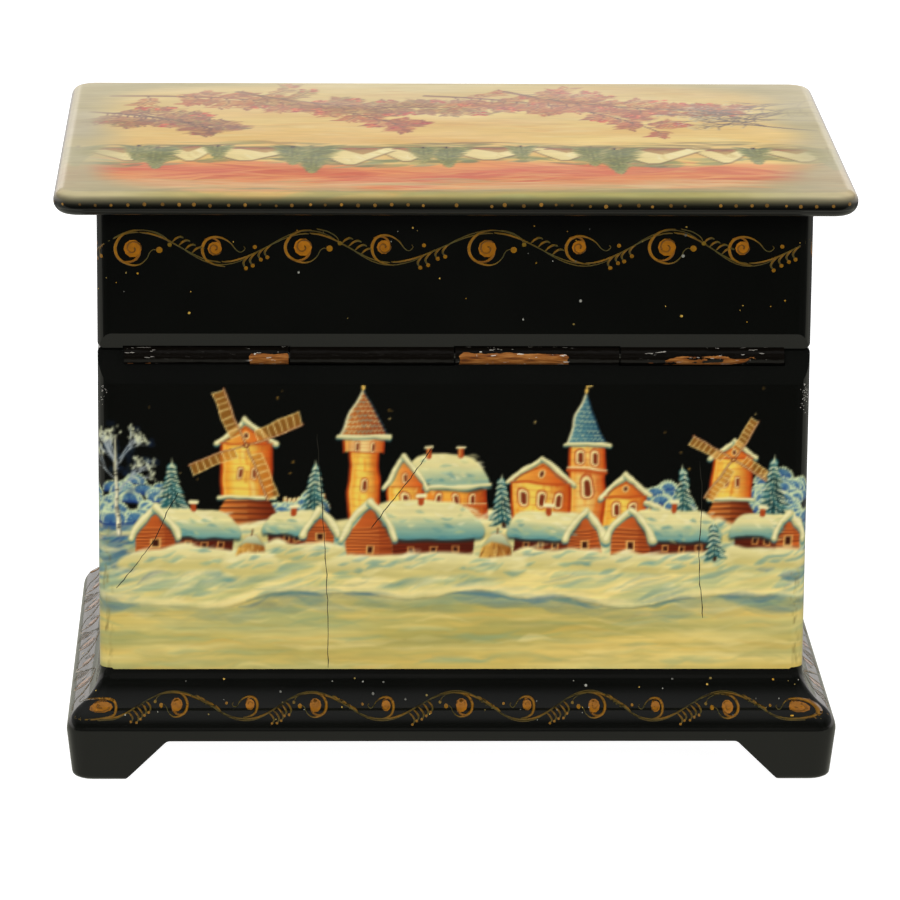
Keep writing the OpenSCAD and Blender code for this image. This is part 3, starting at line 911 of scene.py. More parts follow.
def drift_line(u):
    """The height of the long blue drift that parts the banked snow from the flat field."""
    t = u / GIRTH * 2 * math.pi
    return 38.6 + 1.1 * np.sin(5 * t + 2.2) + 0.8 * np.sin(11 * t) + 0.4 * np.sin(23 * t)


CREST = ["#FFF8D2", "#F8EFBA"]
FOOT = ["#7FB0A8", "#5B97A6", "#E9DDA0", "#F6ECB4"]
BANK_BLUES = ["#A8B98A", "#79A9A4", "#5B93A4", "#6E8A94"]
BANK_CREAMS = ["#FFF2BE", "#F8E8A4", "#FFEFB0", "#E6D488"]
CORNER_SLOPES = ["#2B5AA0", "#3F78A8", "#5B97B0", "#2F6C98"]
FAR_SLOPES = ["#4F8FA6", "#8DB7AC", "#C9D2A0", "#F3EAB4", "#3F78A0"]


def snowfield(c, rng):
    """Snow round the whole box: a flat field, a blue drift, banked snow and a blue distance, with painted
    shade down each corner of the case.
    """
    def flat(u, v):
        low = np.clip((v - PAINT_LOW) / 14, 0, 1)
        tone = mix("#E8C86C", "#DCCA7C", low)
        tone = mix(tone, "#A5A362", 0.75 * np.clip(cloud(u, v, 46, 2.6, 1) * 1.7 - 0.6, 0, 1))
        tone = mix(tone, "#F6E7A4", 0.6 * np.clip(cloud(u, v, 30, 2.2, 2) * 1.8 - 0.7, 0, 1))
        return mix(tone, "#93A67E", 0.55 * np.clip(cloud(u, v, 36, 3.0, 3) * 1.8 - 0.95, 0, 1))

    def banked(u, v):
        above = np.clip((v - drift_line(u)) / 9, 0, 1)
        tone = mix("#FAE496", "#FEEDAA", above)
        slant = cloud(u - v * 2.2, v - u * 0.28, 11, 2.0, 5)
        tone = mix(tone, "#B9C08A", 0.75 * np.clip(slant * 1.9 - 0.9, 0, 1))
        return mix(tone, "#86AE9C", 0.5 * np.clip(cloud(u - v * 2, v - u * 0.3, 17, 2.6, 8) * 2 - 1.15, 0, 1))

    c.band(-GIRTH / 2 - 1, GIRTH / 2, PAINT_LOW - 1, drift_line, flat, 1, 0.6)
    c.band(-GIRTH / 2 - 1, GIRTH / 2, drift_line, horizon, banked, 1, 0.6)
    for k in range(260):
        u = rng.choice([-74, 77, 176, 326]) + rng.normal(0, 4.5)
        swept(c, u - 3, rng.uniform(38, 54), rng.uniform(3, 8), rng.uniform(0.1, 0.5), rng.uniform(0.8, 2.2),
              rng.choice(["#2B55A0", "#3F78A8", "#5B97B0", "#2F6C98", "#8DB7AC"]), 0.35, rng)
    for k in range(150):
        u = rng.choice([-70, 78, 180, 322]) + rng.normal(0, 3.5)
        swept(c, u - 3, rng.uniform(43, 55), rng.uniform(3, 8), rng.uniform(0.0, 0.4), rng.uniform(1.0, 2.6),
              rng.choice(["#1F3F7C", "#24478A", "#2F5C94"]), 0.4, rng)
    for k in range(900):
        u, v = rng.uniform(-GIRTH / 2, GIRTH / 2), PAINT_LOW + 15.5 * rng.random()
        tone = rng.choice(["#F0DC94", "#BDB068", "#F8E8AC", "#B0AE70", "#94AC88", "#E6C870", "#E2BC62"])
        swept(c, u, v, rng.uniform(5, 18), rng.uniform(-0.03, 0.04), rng.uniform(0.35, 1.5), tone,
              rng.uniform(0.15, 0.42), rng)
    for k in range(1300):
        u = rng.uniform(-GIRTH / 2, GIRTH / 2)
        foot = drift_line(u)
        v = foot + rng.uniform(0.3, 13)
        blue = rng.random() < 0.3
        tone = rng.choice(BANK_BLUES if blue else BANK_CREAMS)
        swept(c, u, v, rng.uniform(3, 10), rng.uniform(0.12, 0.42), rng.uniform(0.4, 1.6), tone,
              rng.uniform(0.15, 0.4) if blue else rng.uniform(0.3, 0.6), rng)
    for k in range(90):
        u = rng.uniform(-GIRTH / 2, GIRTH / 2)
        v = drift_line(u) + rng.uniform(1, 10)
        for m in range(5):
            swept(c, u + rng.uniform(-1, 1), v + rng.uniform(-0.7, 0.7), rng.uniform(8, 16),
                  rng.uniform(0.2, 0.34), rng.uniform(0.5, 1.4),
                  rng.choice(["#5B93A4", "#79A9A4", "#4F7F98", "#8DAA96"]), 0.22, rng)
    for u in np.arange(-GIRTH / 2, GIRTH / 2, 1.7):
        z = drift_line(u)
        after = drift_line(u + 5.5)
        deep = 0.5 + 0.4 * math.sin(u * 0.13) + 0.3 * math.sin(u * 0.31 + 1)
        tone = rng.choice(["#5B8F98", "#4F7FA0", "#6E8A94", "#7E8C7C"])
        for faint in (0.07, 0.16, 0.24):
            swept(c, u + rng.uniform(-2, 2), z - rng.uniform(0.2, 3.0), rng.uniform(5, 12),
                  rng.uniform(-0.12, 0.2), rng.uniform(0.7, 2.4), tone, faint * max(0.3, deep), rng)
        if deep > 0.45:
            swept(c, u, z + rng.uniform(-0.5, 0.3), rng.uniform(4, 8),
                  (after - z) / 5.5 + rng.uniform(-0.05, 0.05), rng.uniform(0.4, 1.1),
                  rng.choice(["#3F6C9A", "#3F7890"]), 0.4, rng)
        c.stroke([(u, z + 1.0), (u + 5, after + 1.0)], rng.uniform(0.6, 1.8), "#FFEFB4",
                 rng.uniform(0.1, 0.4), 1.2)
    # Dull olive strokes down each rounded corner of the case: painted shade where the corners turn away
    for k in range(360):
        u = rng.choice([-1, 1]) * (CORE_W / 2 + 1.2 + rng.normal(0, 0.5)) + rng.choice([0, GIRTH / 2])
        v = rng.uniform(PAINT_LOW, 60)
        c.stroke([(u, v), (u + rng.uniform(-0.1, 0.1), v + rng.uniform(0.2, 1.6))], rng.uniform(0.12, 0.35),
                 rng.choice(["#6E6034", "#8A7A44", "#A09050"]), rng.uniform(0.15, 0.45), 0.25)


def far_side(c, rng):
    """Blue and sea-green slopes where the snow meets the black sky, deepest towards the corners."""
    for k in range(330):
        u = -GIRTH / 2 + GIRTH * k / 330 + rng.uniform(-1, 1)
        z = horizon(u)
        along = (u + GIRTH / 8 + 500) % (GIRTH / 4) - GIRTH / 8
        corner = min(abs(along + GIRTH / 8), abs(along - GIRTH / 8))
        swept(c, u, z - rng.uniform(0.3, 5.5), rng.uniform(3, 9), rng.uniform(-0.15, 0.3),
              rng.uniform(0.6, 1.8), rng.choice(CORNER_SLOPES if corner < 9 else FAR_SLOPES), 0.5, rng)


def hall(c, u, z, rng):
    """A timber hall of three parts: a gabled wing, a tower under a tent roof and a low porch."""
    size = 0.9

    def at(a):
        return u + a * size

    def wing(start, end, tall, rise, inset, sill, count, gap):
        timber(c, at(start), at(end), z, z + tall * size)
        gable_roof(c, at(start), at(end), z + tall * size, rise * size, rng)
        windows(c, at(start) + inset * size, z + sill * size, count, gap * size, 1.2)

    left, right = at(-3.5), at(4.5)
    timber(c, left, right, z, z + 20 * size, lit="#FDD67C")
    c.stroke([(left - 0.3, z + 13.2 * size), (right + 0.3, z + 13.2 * size)], 0.7, "#C8521E", 0.9, 0.3)
    c.stroke([(left - 0.3, z + 13.8 * size), (right + 0.3, z + 13.8 * size)], 0.4, "#FFF0BF", 0.9, 0.3)
    windows(c, left + 2.2 * size, z + 15.4 * size, 2, 3.4 * size, 1.15)
    windows(c, left + 3.9 * size, z + 8.4 * size, 1, 1, 1.5)
    tent(c, at(0.5), z + 20 * size, 9.4 * size, 12.5 * size, rng)
    wing(-16.5, -3.5, 10.5, 5.5, 2.6, 5.6, 3, 3.9)
    wing(4.5, 14.5, 7.5, 5, 3.0, 3.0, 2, 4.0)
    for k in range(3):
        a = at(15.4 + 1.7 * k)
        top = z + (4.6 - 0.9 * k) * size
        c.stroke([(a, z), (a, top)], 0.55, "#F0B55C", 1, 0.25)
        c.stroke([(a + 0.25, z), (a + 0.25, top)], 0.22, "#A8401A", 0.8, 0.22)
    snow_edge(c, [(at(14.6), z + 5.6 * size), (at(20), z + 3.0 * size)], 1.0, rng)


def palisade(c, start, end, z, tall, rng):
    """A stockade of pointed gold logs with snow between the points."""
    for k in range(int((end - start) / 0.95)):
        a = start + 0.95 * k
        top = z + tall + rng.uniform(-0.25, 0.25)
        c.stroke([(a, z), (a, top)], (1.0, 0.9), across("#F7CE7A", "#C8642A", a - 0.5, a + 0.5), 1, 0.25)
        c.stroke([(a + 0.45, z), (a + 0.45, top - 0.3)], 0.22, "#7A2E12", 0.85, 0.22)
        c.stroke([(a, top), (a, top + 0.15)], 0.6, "#F3EBBE", 0.9, 0.25)
    c.stroke([(start, z + tall * 0.62), (end, z + tall * 0.62)], 0.3, "#A8401A", 0.7, 0.25)


def watchtower(c, u, z, rng, tall):
    timber(c, u - 0.13 * tall, u + 0.13 * tall, z, z + tall * 0.62)
    timber(c, u - 0.18 * tall, u + 0.18 * tall, z + tall * 0.62, z + tall * 0.76, 0.8, "#FBE2A0", "#D9742A")
    windows(c, u - 0.07 * tall, z + tall * 0.64, 2, 0.14 * tall, 0.7)
    windows(c, u, z + tall * 0.3, 1, 1, 0.9)
    tent(c, u, z + tall * 0.76, 0.42 * tall, 0.4 * tall, rng, ("#8A3416", "#D9843A"))


def well(c, u, z, rng):
    """A well with its sweep, a long pole balanced on a forked post."""
    c.stroke([(u, z), (u, z + 8.5)], 0.6, "#7A3A18", 1, 0.25)
    c.stroke([(u - 6.5, z + 5.6), (u + 6.0, z + 11)], (0.9, 0.3), "#8E4A20", 1, 0.25)
    c.stroke([(u - 6.5, z + 5.9), (u + 6.0, z + 11.3)], 0.22, "#F6F0C9", 0.8, 0.25)
    c.stroke([(u + 6.0, z + 11), (u + 5.8, z + 4)], 0.2, "#C98A45", 0.9, 0.22)
    c.stroke([(u + 5.8, z + 2.8), (u + 5.8, z + 4)], 0.9, "#7A3013", 1, 0.25)
    for k in range(3):
        c.stroke([(u + 3.8, z + 0.6 * k), (u + 7.8, z + 0.6 * k)], 0.55, "#9A4A20", 1, 0.25)
    snow_edge(c, [(u + 3.6, z + 1.9), (u + 8.0, z + 1.9)], 0.6, rng)


def house(c, u, z, rng, wide, tall, lean):
    """A merchant's timber house: a gold gable end and a long wall under a deep hipped roof of snow."""
    near, far = u - lean * wide / 2, u + lean * wide / 2
    split = near + lean * 0.36 * wide
    eave, ridge = z + 0.56 * tall, z + tall
    gable = sorted((near, split))
    timber(c, *gable, z, eave)
    timber(c, *sorted((split, far)), z, eave, 1.4, "#FFB848", "#EE7A20", "#A83A12")
    peak = (near + split) / 2
    c.fill([(near, eave), (peak, ridge), (split, eave)], across("#FFD06A", "#D9541A", *gable), 1, 0.3)
    step = (far - split) / 4.4
    windows(c, split + step * 1.0, z + 0.30 * tall, 3, step * 1.2, 1.0)
    windows(c, near + (split - near) * 0.5, z + 0.27 * tall, 1, 1, 1.3)
    windows(c, peak, eave + 0.08 * tall, 1, 1, 0.8)
    c.stroke([(near, z + 0.26 * tall), (far, z + 0.26 * tall)], 0.5, "#C8521E", 0.85, 0.3)
    c.stroke([(near, z + 0.29 * tall), (far, z + 0.29 * tall)], 0.28, "#FFEFB8", 0.85, 0.25)
    t = np.linspace(0, 1, 5)
    brim = np.stack([far + lean * 0.05 * wide + (split - far) * t,
                     eave - 0.4 + rng.uniform(-0.35, 0.25, 5)], -1)
    snow_cap(c, [(peak - lean * 0.3, ridge + 0.4), (far - lean * 0.14 * wide, ridge + 0.3),
                 (far + lean * 0.03 * wide, eave + 1.2)] + list(brim), rng, eave - 1.5, ridge + 1)
    snow_edge(c, [(split + lean * 0.2, eave - 0.3), (far + lean * 0.05 * wide, eave - 0.2)], 0.8, rng)
    snow_edge(c, bent((near - lean * 0.8, eave - 0.6), (peak, ridge + 0.2), 0.03 * lean), 0.95, rng)
    snow_edge(c, bent((peak, ridge + 0.2), (split + lean * 0.7, eave - 0.6), 0.03 * lean), 0.95, rng)
    for t in (0.3, 0.7):
        a = peak + (far - peak) * t
        c.stroke([(a, ridge - 0.3), (a, ridge + 1.4)], 1.1, "#B4481C", 1, 0.3)
        c.stroke([(a - 0.2, ridge - 0.3), (a - 0.2, ridge + 1.4)], 0.35, "#F0A95C", 0.8, 0.3)
        c.stroke([(a - 0.7, ridge + 1.7), (a + 0.7, ridge + 1.7)], 0.6, "#F3EBBE", 1, 0.3)


# How wide the snow banked at a building's foot is, as a share of its first size
BANKED = {cabin: 1.15, haystack: 1.6, house: 1.05, watchtower: 0.5, windmill: 0.7}


def unsteady(c):
    """Every line a little off true, as a hand leaves it."""
    u, v = c.places()
    c.ink = c.sample(u + (cloud(u, v, 11, 9, 13) - 0.5) * 0.9 + (cloud(u, v, 3.4, 2.8, 17) - 0.5) * 0.5,
                     v + (cloud(u, v, 12, 7, 19) - 0.5) * 1.2 + (cloud(u, v, 3.1, 2.6, 23) - 0.5) * 0.5)


def age(c):
    """Old varnish over the whole picture: warmer, with the brush's fine streaks left in the paint."""
    u, v = c.places()
    streak = cloud(u, v, 7.9, 0.45, 11) * 0.6 + cloud(u, v, 2.6, 0.9, 5) * 0.4
    c.ink *= (0.96 + 0.1 * streak)[..., None] * np.array([1.0, 0.985, 0.9])


# What stands where round the box: motif, place along the wall, foot height, then its own sizes
VILLAGE = [
    (frosted, -66, 55.0, 17, 11), (frosted, -33, 56, 11, 6), (frosted, 43, 55.5, 13, 8),
    (frosted, 70, 55.5, 12, 12), (birch, -70.5, 53, 24), (fir, -59.5, 54.5, 15),
    (windmill, -44, 55.0, 25, 0.35), (fir, -29.5, 55.5, 13), (watchtower, -19, 55.5, 24.5),
    (house, -3.5, 55, 21, 15, 1), (hall, 27.5, 54.5), (fir, 10.5, 55, 10), (windmill, 59, 55.0, 20, 1.0),
    (fir, 48.5, 54.7, 12.5), (fir, 68, 54.5, 15), (cabin, -57, 48.6, 20, 9.6, 1),
    (cabin, -32.5, 50.4, 14, 7.4, -1), (cabin, -9.5, 47.2, 27, 12.4, 1), (cabin, 22, 48.6, 19, 9.2, -1),
    (cabin, 44.5, 48.2, 22, 9.6, 1), (cabin, 67, 49.4, 14, 7.6, -1), (haystack, -43, 47.4, 6.4, 5.8),
    (haystack, 9.0, 46.8, 7, 6.2), (fir, 55.6, 47.6, 8), (fir, 82, 54.5, 18), (fir, 88, 54, 13),
    (birch, 94, 53.5, 24), (house, 110, 55, 20, 14, -1), (frosted, 122, 55, 16, 8),
    (windmill, 138, 54.5, 25, 0.8), (fir, 153, 54, 18), (fir, 160, 54, 14), (frosted, 169, 55, 12, 9),
    (cabin, 96, 48.4, 23, 10.4, -1), (cabin, 125, 49.2, 19, 9.2, 1), (haystack, 111.5, 47.0, 7, 6.4),
    (well, 143, 46.6), (cabin, 165, 48.6, 22, 10, -1), (birch, 182, 53.5, 24), (fir, 190.5, 54, 18),
    (windmill, 206, 54.5, 25, 0.5), (frosted, 220, 55.5, 14, 7), (house, 229, 55, 17, 14, 1),
    (hall, 252, 54.0), (birch, 275, 54, 23), (house, 289, 55, 20, 14, -1), (fir, 303, 54.5, 17),
    (fir, 308, 54, 13), (frosted, 313, 55.5, 12, 9), (birch, 319, 53.5, 24),
    (cabin, 196, 48.4, 24, 11, 1), (cabin, 226, 49.2, 19, 9, -1), (haystack, 211, 47, 7, 6.4),
    (cabin, 254, 47.8, 25, 11.6, 1), (haystack, 272, 47.0, 6.6, 6), (cabin, 290, 48.6, 20, 9.6, -1),
    (well, 308, 46.6), (fir, 333, 54.5, 19), (fir, 340, 54, 14), (windmill, 357, 54.5, 25, 1.1),
    (frosted, 373, 55.5, 14, 8), (watchtower, 386, 55.5, 25), (birch, 399, 54, 23), (fir, 409, 54, 16),
    (frosted, 419, 55.5, 12, 8), (cabin, 346, 48.4, 22, 10.4, -1), (cabin, 375, 49.0, 19, 9.4, 1),
    (haystack, 361, 47, 7, 6.4), (cabin, 404, 48.4, 22, 10.2, -1),
]


def paint_walls():
    """The winter village, one picture that runs round all four sides of the case."""
    rng = np.random.default_rng(21)
    c = Canvas(-GIRTH / 2, PAINT_LOW - 1.0, GIRTH, PAINT_HIGH - PAINT_LOW + 2, GIRTH / 2200, True,
               LACQUER_BLACK)
    for k in range(70):
        u, v = rng.uniform(-GIRTH / 2, GIRTH / 2), rng.uniform(62, 85)
        c.stroke([(u, v), (u + 0.02, v)], rng.uniform(0.3, 0.5),
                 rng.choice(["#B98A35", "#E3C47A", "#8A6A30"]), 0.8, 0.25)
    snowfield(c, rng)
    far_side(c, rng)
    palisade(c, -36, -26, 55, 6, rng)
    palisade(c, 40, 47, 55, 6, rng)
    for motif, u, z, *sizes in sorted(VILLAGE, key=lambda row: -row[2]):
        motif(c, u, z, rng, *sizes)
        if motif in BANKED:
            bank(c, u, z, BANKED[motif] * sizes[0], rng)
    unsteady(c)
    age(c)
    return c


# The lid's picture, right way up from the front: u runs to the right and v towards the hinge

def bough(c, start, end, sag, rng, leaves, dark="#5E2A1E"):
    """A rowan bough in autumn: paired leaflets on curved twigs, berries at their ends."""
    spine = bent(start, end, sag, 24)
    c.stroke(spine, np.linspace(1.6, 0.3, 24), dark, 0.95, 0.35)
    c.stroke(spine + (0.1, 0.25), np.linspace(0.6, 0.1, 24), "#C98A5A", 0.6, 0.3)
    heading = math.atan2(*(np.asarray(end, float) - start)[::-1])
    for k in range(2, 23):
        for side in (-1, 1):
            if rng.random() < 0.18:
                continue
            angle = heading + side * rng.uniform(0.7, 1.35)
            long = rng.uniform(7, 13) * (1.15 - 0.5 * k / 23)
            twig = bent(spine[k], spine[k] + long * np.array([math.cos(angle), math.sin(angle)]),
                        -side * 0.14, 9)
            c.stroke(twig, np.linspace(0.5, 0.2, 9), dark, 0.9, 0.25)
            for m in range(2, 9):
                run = twig[m] - twig[m - 1]
                lean = math.atan2(run[1], run[0])
                for hand in (-1, 1):
                    reach = rng.uniform(2.0, 3.6)
                    out = lean + hand * 0.95
                    tip = twig[m] + reach * np.array([math.cos(out), math.sin(out)])
                    tone = leaves[rng.integers(len(leaves))]
                    leaf = bent(twig[m], tip, hand * 0.12, 5)
                    c.stroke(leaf, np.array([0.3, 1.1, 1.35, 0.9, 0.15]) * rng.uniform(0.8, 1.15), tone,
                             0.8, 0.3)
                    c.stroke(leaf, 0.16, dark, 0.6, 0.2)
            if rng.random() < 0.4:
                for m in range(9):
                    spot = twig[-1] + rng.uniform(-1.7, 1.7, 2)
                    c.stroke([spot, spot + (0.05, 0)], rng.uniform(1.0, 1.4),
                             rng.choice(["#C42A1A", "#E8552A", "#9A1E16"]), 0.95, 0.25)
                    c.stroke([spot + (-0.2, 0.2), spot + (-0.15, 0.2)], 0.35, "#FFC08A", 0.8, 0.2)


def snow_hill(c, u, v, wide, tall, rng):
    """A steep hill deep in snow, ochre where the wind has bared its lower side."""
    left, right, top = u - wide * 0.55, u + wide * 0.55, u + rng.uniform(-0.14, 0.14) * wide
    side = rounded([(left, v), (top - 0.24 * wide, v + 0.6 * tall), (top, v + tall),
                    (top + 0.22 * wide, v + 0.64 * tall), (right, v)], 1)
    c.fill(side + (0, 0.9), "#6E4A20", 0.8, 0.9)
    c.fill(side, across("#FFF2C0", "#EED48C", left, right), 1, 0.5)
    bare = [(u - 0.36 * wide, v), (u - 0.05 * wide, v + 0.4 * tall), (u + 0.3 * wide, v)]
    c.fill(bare, rising("#8A5A24", "#C99848", v, v + 0.45 * tall), 0.85, 0.6)
    c.stroke([(left, v - 0.3), (right, v + 0.3)], 0.9, "#6E5A2C", 0.75, 0.6)
    for k in range(4):
        a = u + (0.12 * k - 0.2) * wide
        c.stroke([(a, v + 1.4), (a + 0.08 * wide, v + 1.9)], 1.1, ("#B8562A", "#8E3E22")[k % 2], 0.7, 0.4)
    for k in range(12):
        t = rng.uniform(0.1, 0.95)
        at = np.array([left + (top - left) * t, v + tall * t * 0.92])
        c.stroke(bent(at, at + (rng.uniform(0.5, 3), -rng.uniform(2, 6)), 0.08),
                 (0.1, 0.5, 0.7, 0.5, 0.3, 0.1),
                 rng.choice(["#FFF8D6", "#FFF0C0", "#DDBF78", "#F6E3A8"]), 0.45, 0.4)


FIRE = ["#D8502E", "#E88A4C", "#F0A870", "#E0703C", "#CC4A2C", "#F0A258"]
HIGH_DUSK = ["#E8B88C", "#F0CFA0", "#C8B27C", "#D89A70"]
LAST_DUSK = ["#A8A06A", "#8E9A78", "#B9A878", "#7E8E74"]
PLAIN_SNOW = ["#F8DE94", "#DCA04C", "#F0CB78", "#D6B468", "#F6E2AC"]
GREENS = ["#7A7C3A", "#94944A", "#AEA860", "#687E50", "#869A78", "#5E6638"]
RED_LEAVES = ("#C85A28", "#D07030", "#B04C28", "#DC9448", "#CC6830", "#9C4828")
PLUM_LEAVES = ("#9C5834", "#B46A38", "#C07C3C", "#8A5030", "#C8924A", "#92703A")
FIR_BOUGHS = ("#6A6C2C", "#7E8240", "#667044")
FIR_FROST = ("#B0A854", "#98A058", "#CCC084")


def paint_lid():
    """A snowy plain under a red dusk, seen over rowan boughs, paler and greyer towards its edges and paler
    towards its front.
    """
    rng = np.random.default_rng(5)
    wide, deep = PLATE_W + 12, PLATE_D + 12
    c = Canvas(-wide / 2, -deep / 2, wide, deep, 0.25, False, "#8C8A5A")

    def plain(u, v):
        t = np.clip((v + 55) / 60, 0, 1)
        tone = mix("#DCC58A", "#F0C66C", t)
        tone = mix(tone, "#F8DC8A", 0.7 * cloud(u + 40, v, 52, 13, 4))
        return mix(tone, "#DCA04C", 0.5 * np.clip(cloud(u, v, 40, 10, 9) * 1.6 - 0.5, 0, 1))

    def fire(u):
        return 39.5 + 4.5 * np.sin(u / 15 + 1) + 2.5 * np.sin(u / 6.3)

    def dusk(u, v):
        tone = mix("#F09A4C", "#EE8A48", np.clip((v - 30) / 14, 0, 1))
        tone = mix(tone, "#D94E28", 0.9 * np.clip(1 - abs(v - fire(u)) / 7, 0, 1))
        tone = mix(tone, "#F3A868", 0.6 * cloud(u, v, 30, 9, 6) ** 2)
        tone = mix(tone, "#E8AE78", np.clip((v - fire(u) - 9) / 6, 0, 1))
        return mix(tone, "#A8A06A", np.clip((v - 55 - 2 * np.sin(u / 23)) / 5, 0, 1))

    c.band(-wide / 2, wide / 2, -deep / 2, deep / 2, plain, 1, 0.4)
    c.band(-wide / 2, wide / 2, lambda u: 29 + 2.2 * np.sin(u / 11) + 1.5 * np.sin(u / 4.3), deep / 2,
           dusk, 1, 3.0)
    for k in range(360):
        u = rng.uniform(-82, 74)
        v = fire(u) + rng.uniform(-7, 8)
        swept(c, u, v, rng.uniform(6, 18), rng.uniform(-0.5, 0.5), rng.uniform(0.8, 2.6),
              rng.choice(FIRE), rng.uniform(0.2, 0.5), rng)
    for k in range(260):
        u, v = rng.uniform(-86, 76), rng.uniform(46, 63)
        tone = rng.choice(HIGH_DUSK if v < 55 else LAST_DUSK)
        swept(c, u, v, rng.uniform(8, 24), rng.uniform(-0.12, 0.12), rng.uniform(0.8, 2.4), tone,
              rng.uniform(0.2, 0.5), rng)
    for k in range(320):
        u, v = rng.uniform(-84, 76), rng.uniform(-58, 14)
        swept(c, u, v, rng.uniform(5, 16), rng.uniform(-0.2, 0.2), rng.uniform(0.8, 2.6),
              rng.choice(PLAIN_SNOW), rng.uniform(0.15, 0.35), rng)
    for k in range(170):
        u = rng.uniform(-84, 74)
        swept(c, u, 23 + 7 * rng.random() + 3 * math.sin(u / 9), rng.uniform(3, 8), rng.uniform(-0.5, 0.5),
              rng.uniform(1.2, 3.4), rng.choice(GREENS), 0.5, rng)
    hills = [(-73, 17), (-58, 13), (-44, 21), (-24, 15), (-9, 22), (9, 14), (20, 18), (41, 23), (57, 13),
             (71, 18)]
    for u, across_by in hills:
        snow_hill(c, u, 12.5 + rng.uniform(-1.5, 1.5), across_by, rng.uniform(14, 20), rng)
    for u, tall in ((-81, 23), (-65, 17), (-35, 27), (-30, 20), (-15, 14), (1, 21), (6, 15), (30, 28),
                    (34, 19), (50, 14), (63, 23), (67, 16), (80, 21)):
        fir(c, u, 12.5 + rng.uniform(-1, 1), rng, tall, FIR_BOUGHS, FIR_FROST)
    for k in range(110):
        u = rng.uniform(-82, 72)
        swept(c, u, 10.5 + 1.8 * math.sin(u / 8) + rng.uniform(-1.5, 1.5), rng.uniform(5, 12),
              rng.uniform(-0.15, 0.15), rng.uniform(0.7, 1.8),
              rng.choice(["#8E8A4A", "#6E6A34", "#A8A45E", "#7A5A2A"]), 0.4, rng)
    for start, end, sag, leaves in (
            ((74, -42), (8, -6), 0.16, RED_LEAVES), ((46, -47), (-14, -34), -0.16, PLUM_LEAVES),
            ((4, -43), (-46, -3), 0.14, RED_LEAVES), ((-14, -48), (-64, -28), -0.12, RED_LEAVES),
            ((78, -24), (50, -4), 0.1, PLUM_LEAVES)):
        bough(c, start, end, sag, rng, leaves)
    for k in range(5):
        twigs(c, -88 + 2 * k, -46 + 10 * k, 16, 0.75 - 0.25 * k + rng.uniform(-0.2, 0.2), 1.1, 3, rng,
              "#5A4440", "#CFC4B0")
    # Towards the plate's edge the picture turns paler and greyer, most at its left and right ends; towards
    # its front it turns paler
    rows, cols, u, v = c.patch([(-wide / 2, -deep / 2), (wide / 2, deep / 2)], 0)
    ragged = (cloud(u, v, 22, 14, 3) - 0.5) * 0.08
    far_u = (1.05 * abs(u) / (PLATE_W / 2)) ** 5
    far_v = (np.where(v > 0, 0.93, 1) * abs(v) / (PLATE_D / 2)) ** 5
    far = (far_u + far_v) ** (1 / 5) + ragged
    paler_edge = np.clip((far - 0.86) / 0.15, 0, 1)
    paler_edge = paler_edge * paler_edge * (3 - 2 * paler_edge)
    ends = np.clip(abs(u) / (PLATE_W / 2) * 2.4 - 1.4, 0, 1)
    rim = mix(mix("#A09A6A", mix("#ADA488", "#C4BA9E", np.clip((v + 50) / 60, 0, 1)), ends), "#BCB6B4",
              0.7 * np.clip(cloud(u, v, 24, 18, 6) * 1.5 - 0.6, 0, 1) * ends)
    c.lay(rows, cols, paler_edge * 0.9, rim)
    c.lay(rows, cols, np.clip((-v - 8) / 50, 0, 1) * 0.45, mix("#CFC4A0", "#DCCCA0", cloud(u, v, 30, 14, 5)))
    age(c)
    return c


# Places on the box

def lengths_round(half_x, half_y, radius):
    """Where each straight and each corner of a rounded rectangle begins, and where it closes."""
    arc = math.pi / 2 * radius
    return np.cumsum([0, half_x, arc, 2 * half_y, arc, 2 * half_x, arc, 2 * half_y, arc, half_x])


def around(u, half_x, half_y, radius, out=0.0):
    """Places on a rounded rectangle, u on from the middle of the hinge side, turning towards -X."""
    legs = lengths_round(half_x, half_y, radius)
    u = np.asarray(u, float) % legs[-1]
    x = np.interp(u, legs, half_x * np.array([0, -1, -1, -1, -1, 1, 1, 1, 1, 0]))
    y = np.interp(u, legs, half_y * np.array([1, 1, 1, -1, -1, -1, -1, 1, 1, 1]))
    angle = np.interp(u, legs, [1, 1, 2, 2, 3, 3, 4, 4, 5, 5]) * math.pi / 2
    return x + (radius + out) * np.cos(angle), y + (radius + out) * np.sin(angle), angle


def upright(u, z, *ring):
    """Places at height z on an upright wall with a rounded rectangle for its plan."""
    x, y = around(u, *ring)[:2]
    return np.stack([x, y, np.broadcast_to(z, x.shape)], -1)


def on_wall(u, z, out):
    return upright(u, z, CORE_W / 2, CORE_D / 2, CORNER_R, out)


def on_plate_edge(u, z, out):
    return upright(u, z, *PLATE_RING, out + FILM)


def painted_mesh():
    bm = bmesh.new()
    return bm, bm.verts.layers.float_color.new("paint")


def mesh_piece(name, body, material, bm, facing_out=True):
    """Makes a finished mesh a piece of the box, riding on its body."""
    if facing_out:
        bmesh.ops.recalc_face_normals(bm, faces=bm.faces)
    mesh = bpy.data.meshes.new(name)
    bm.to_mesh(mesh)
    bm.free()
    mesh.materials.append(material)
    mesh.shade_smooth()
    piece = put(name, mesh)
    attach(piece, body)
    return piece


def place_grid(bm, places, paint, colours):
    """A grid of vertices put at places, an array of rows by columns, with its colours."""
    rows, cols = places.shape[:2]
    made = bmesh.ops.create_grid(bm, x_segments=cols - 1, y_segments=rows - 1, size=1.0)["verts"]
    for vert, place, colour in zip(made, (places * MM).reshape(-1, 3).tolist(),
                                   colours.reshape(-1, 3).tolist()):
        vert.co = place
        vert[paint] = (*colour, 1.0)
    return made


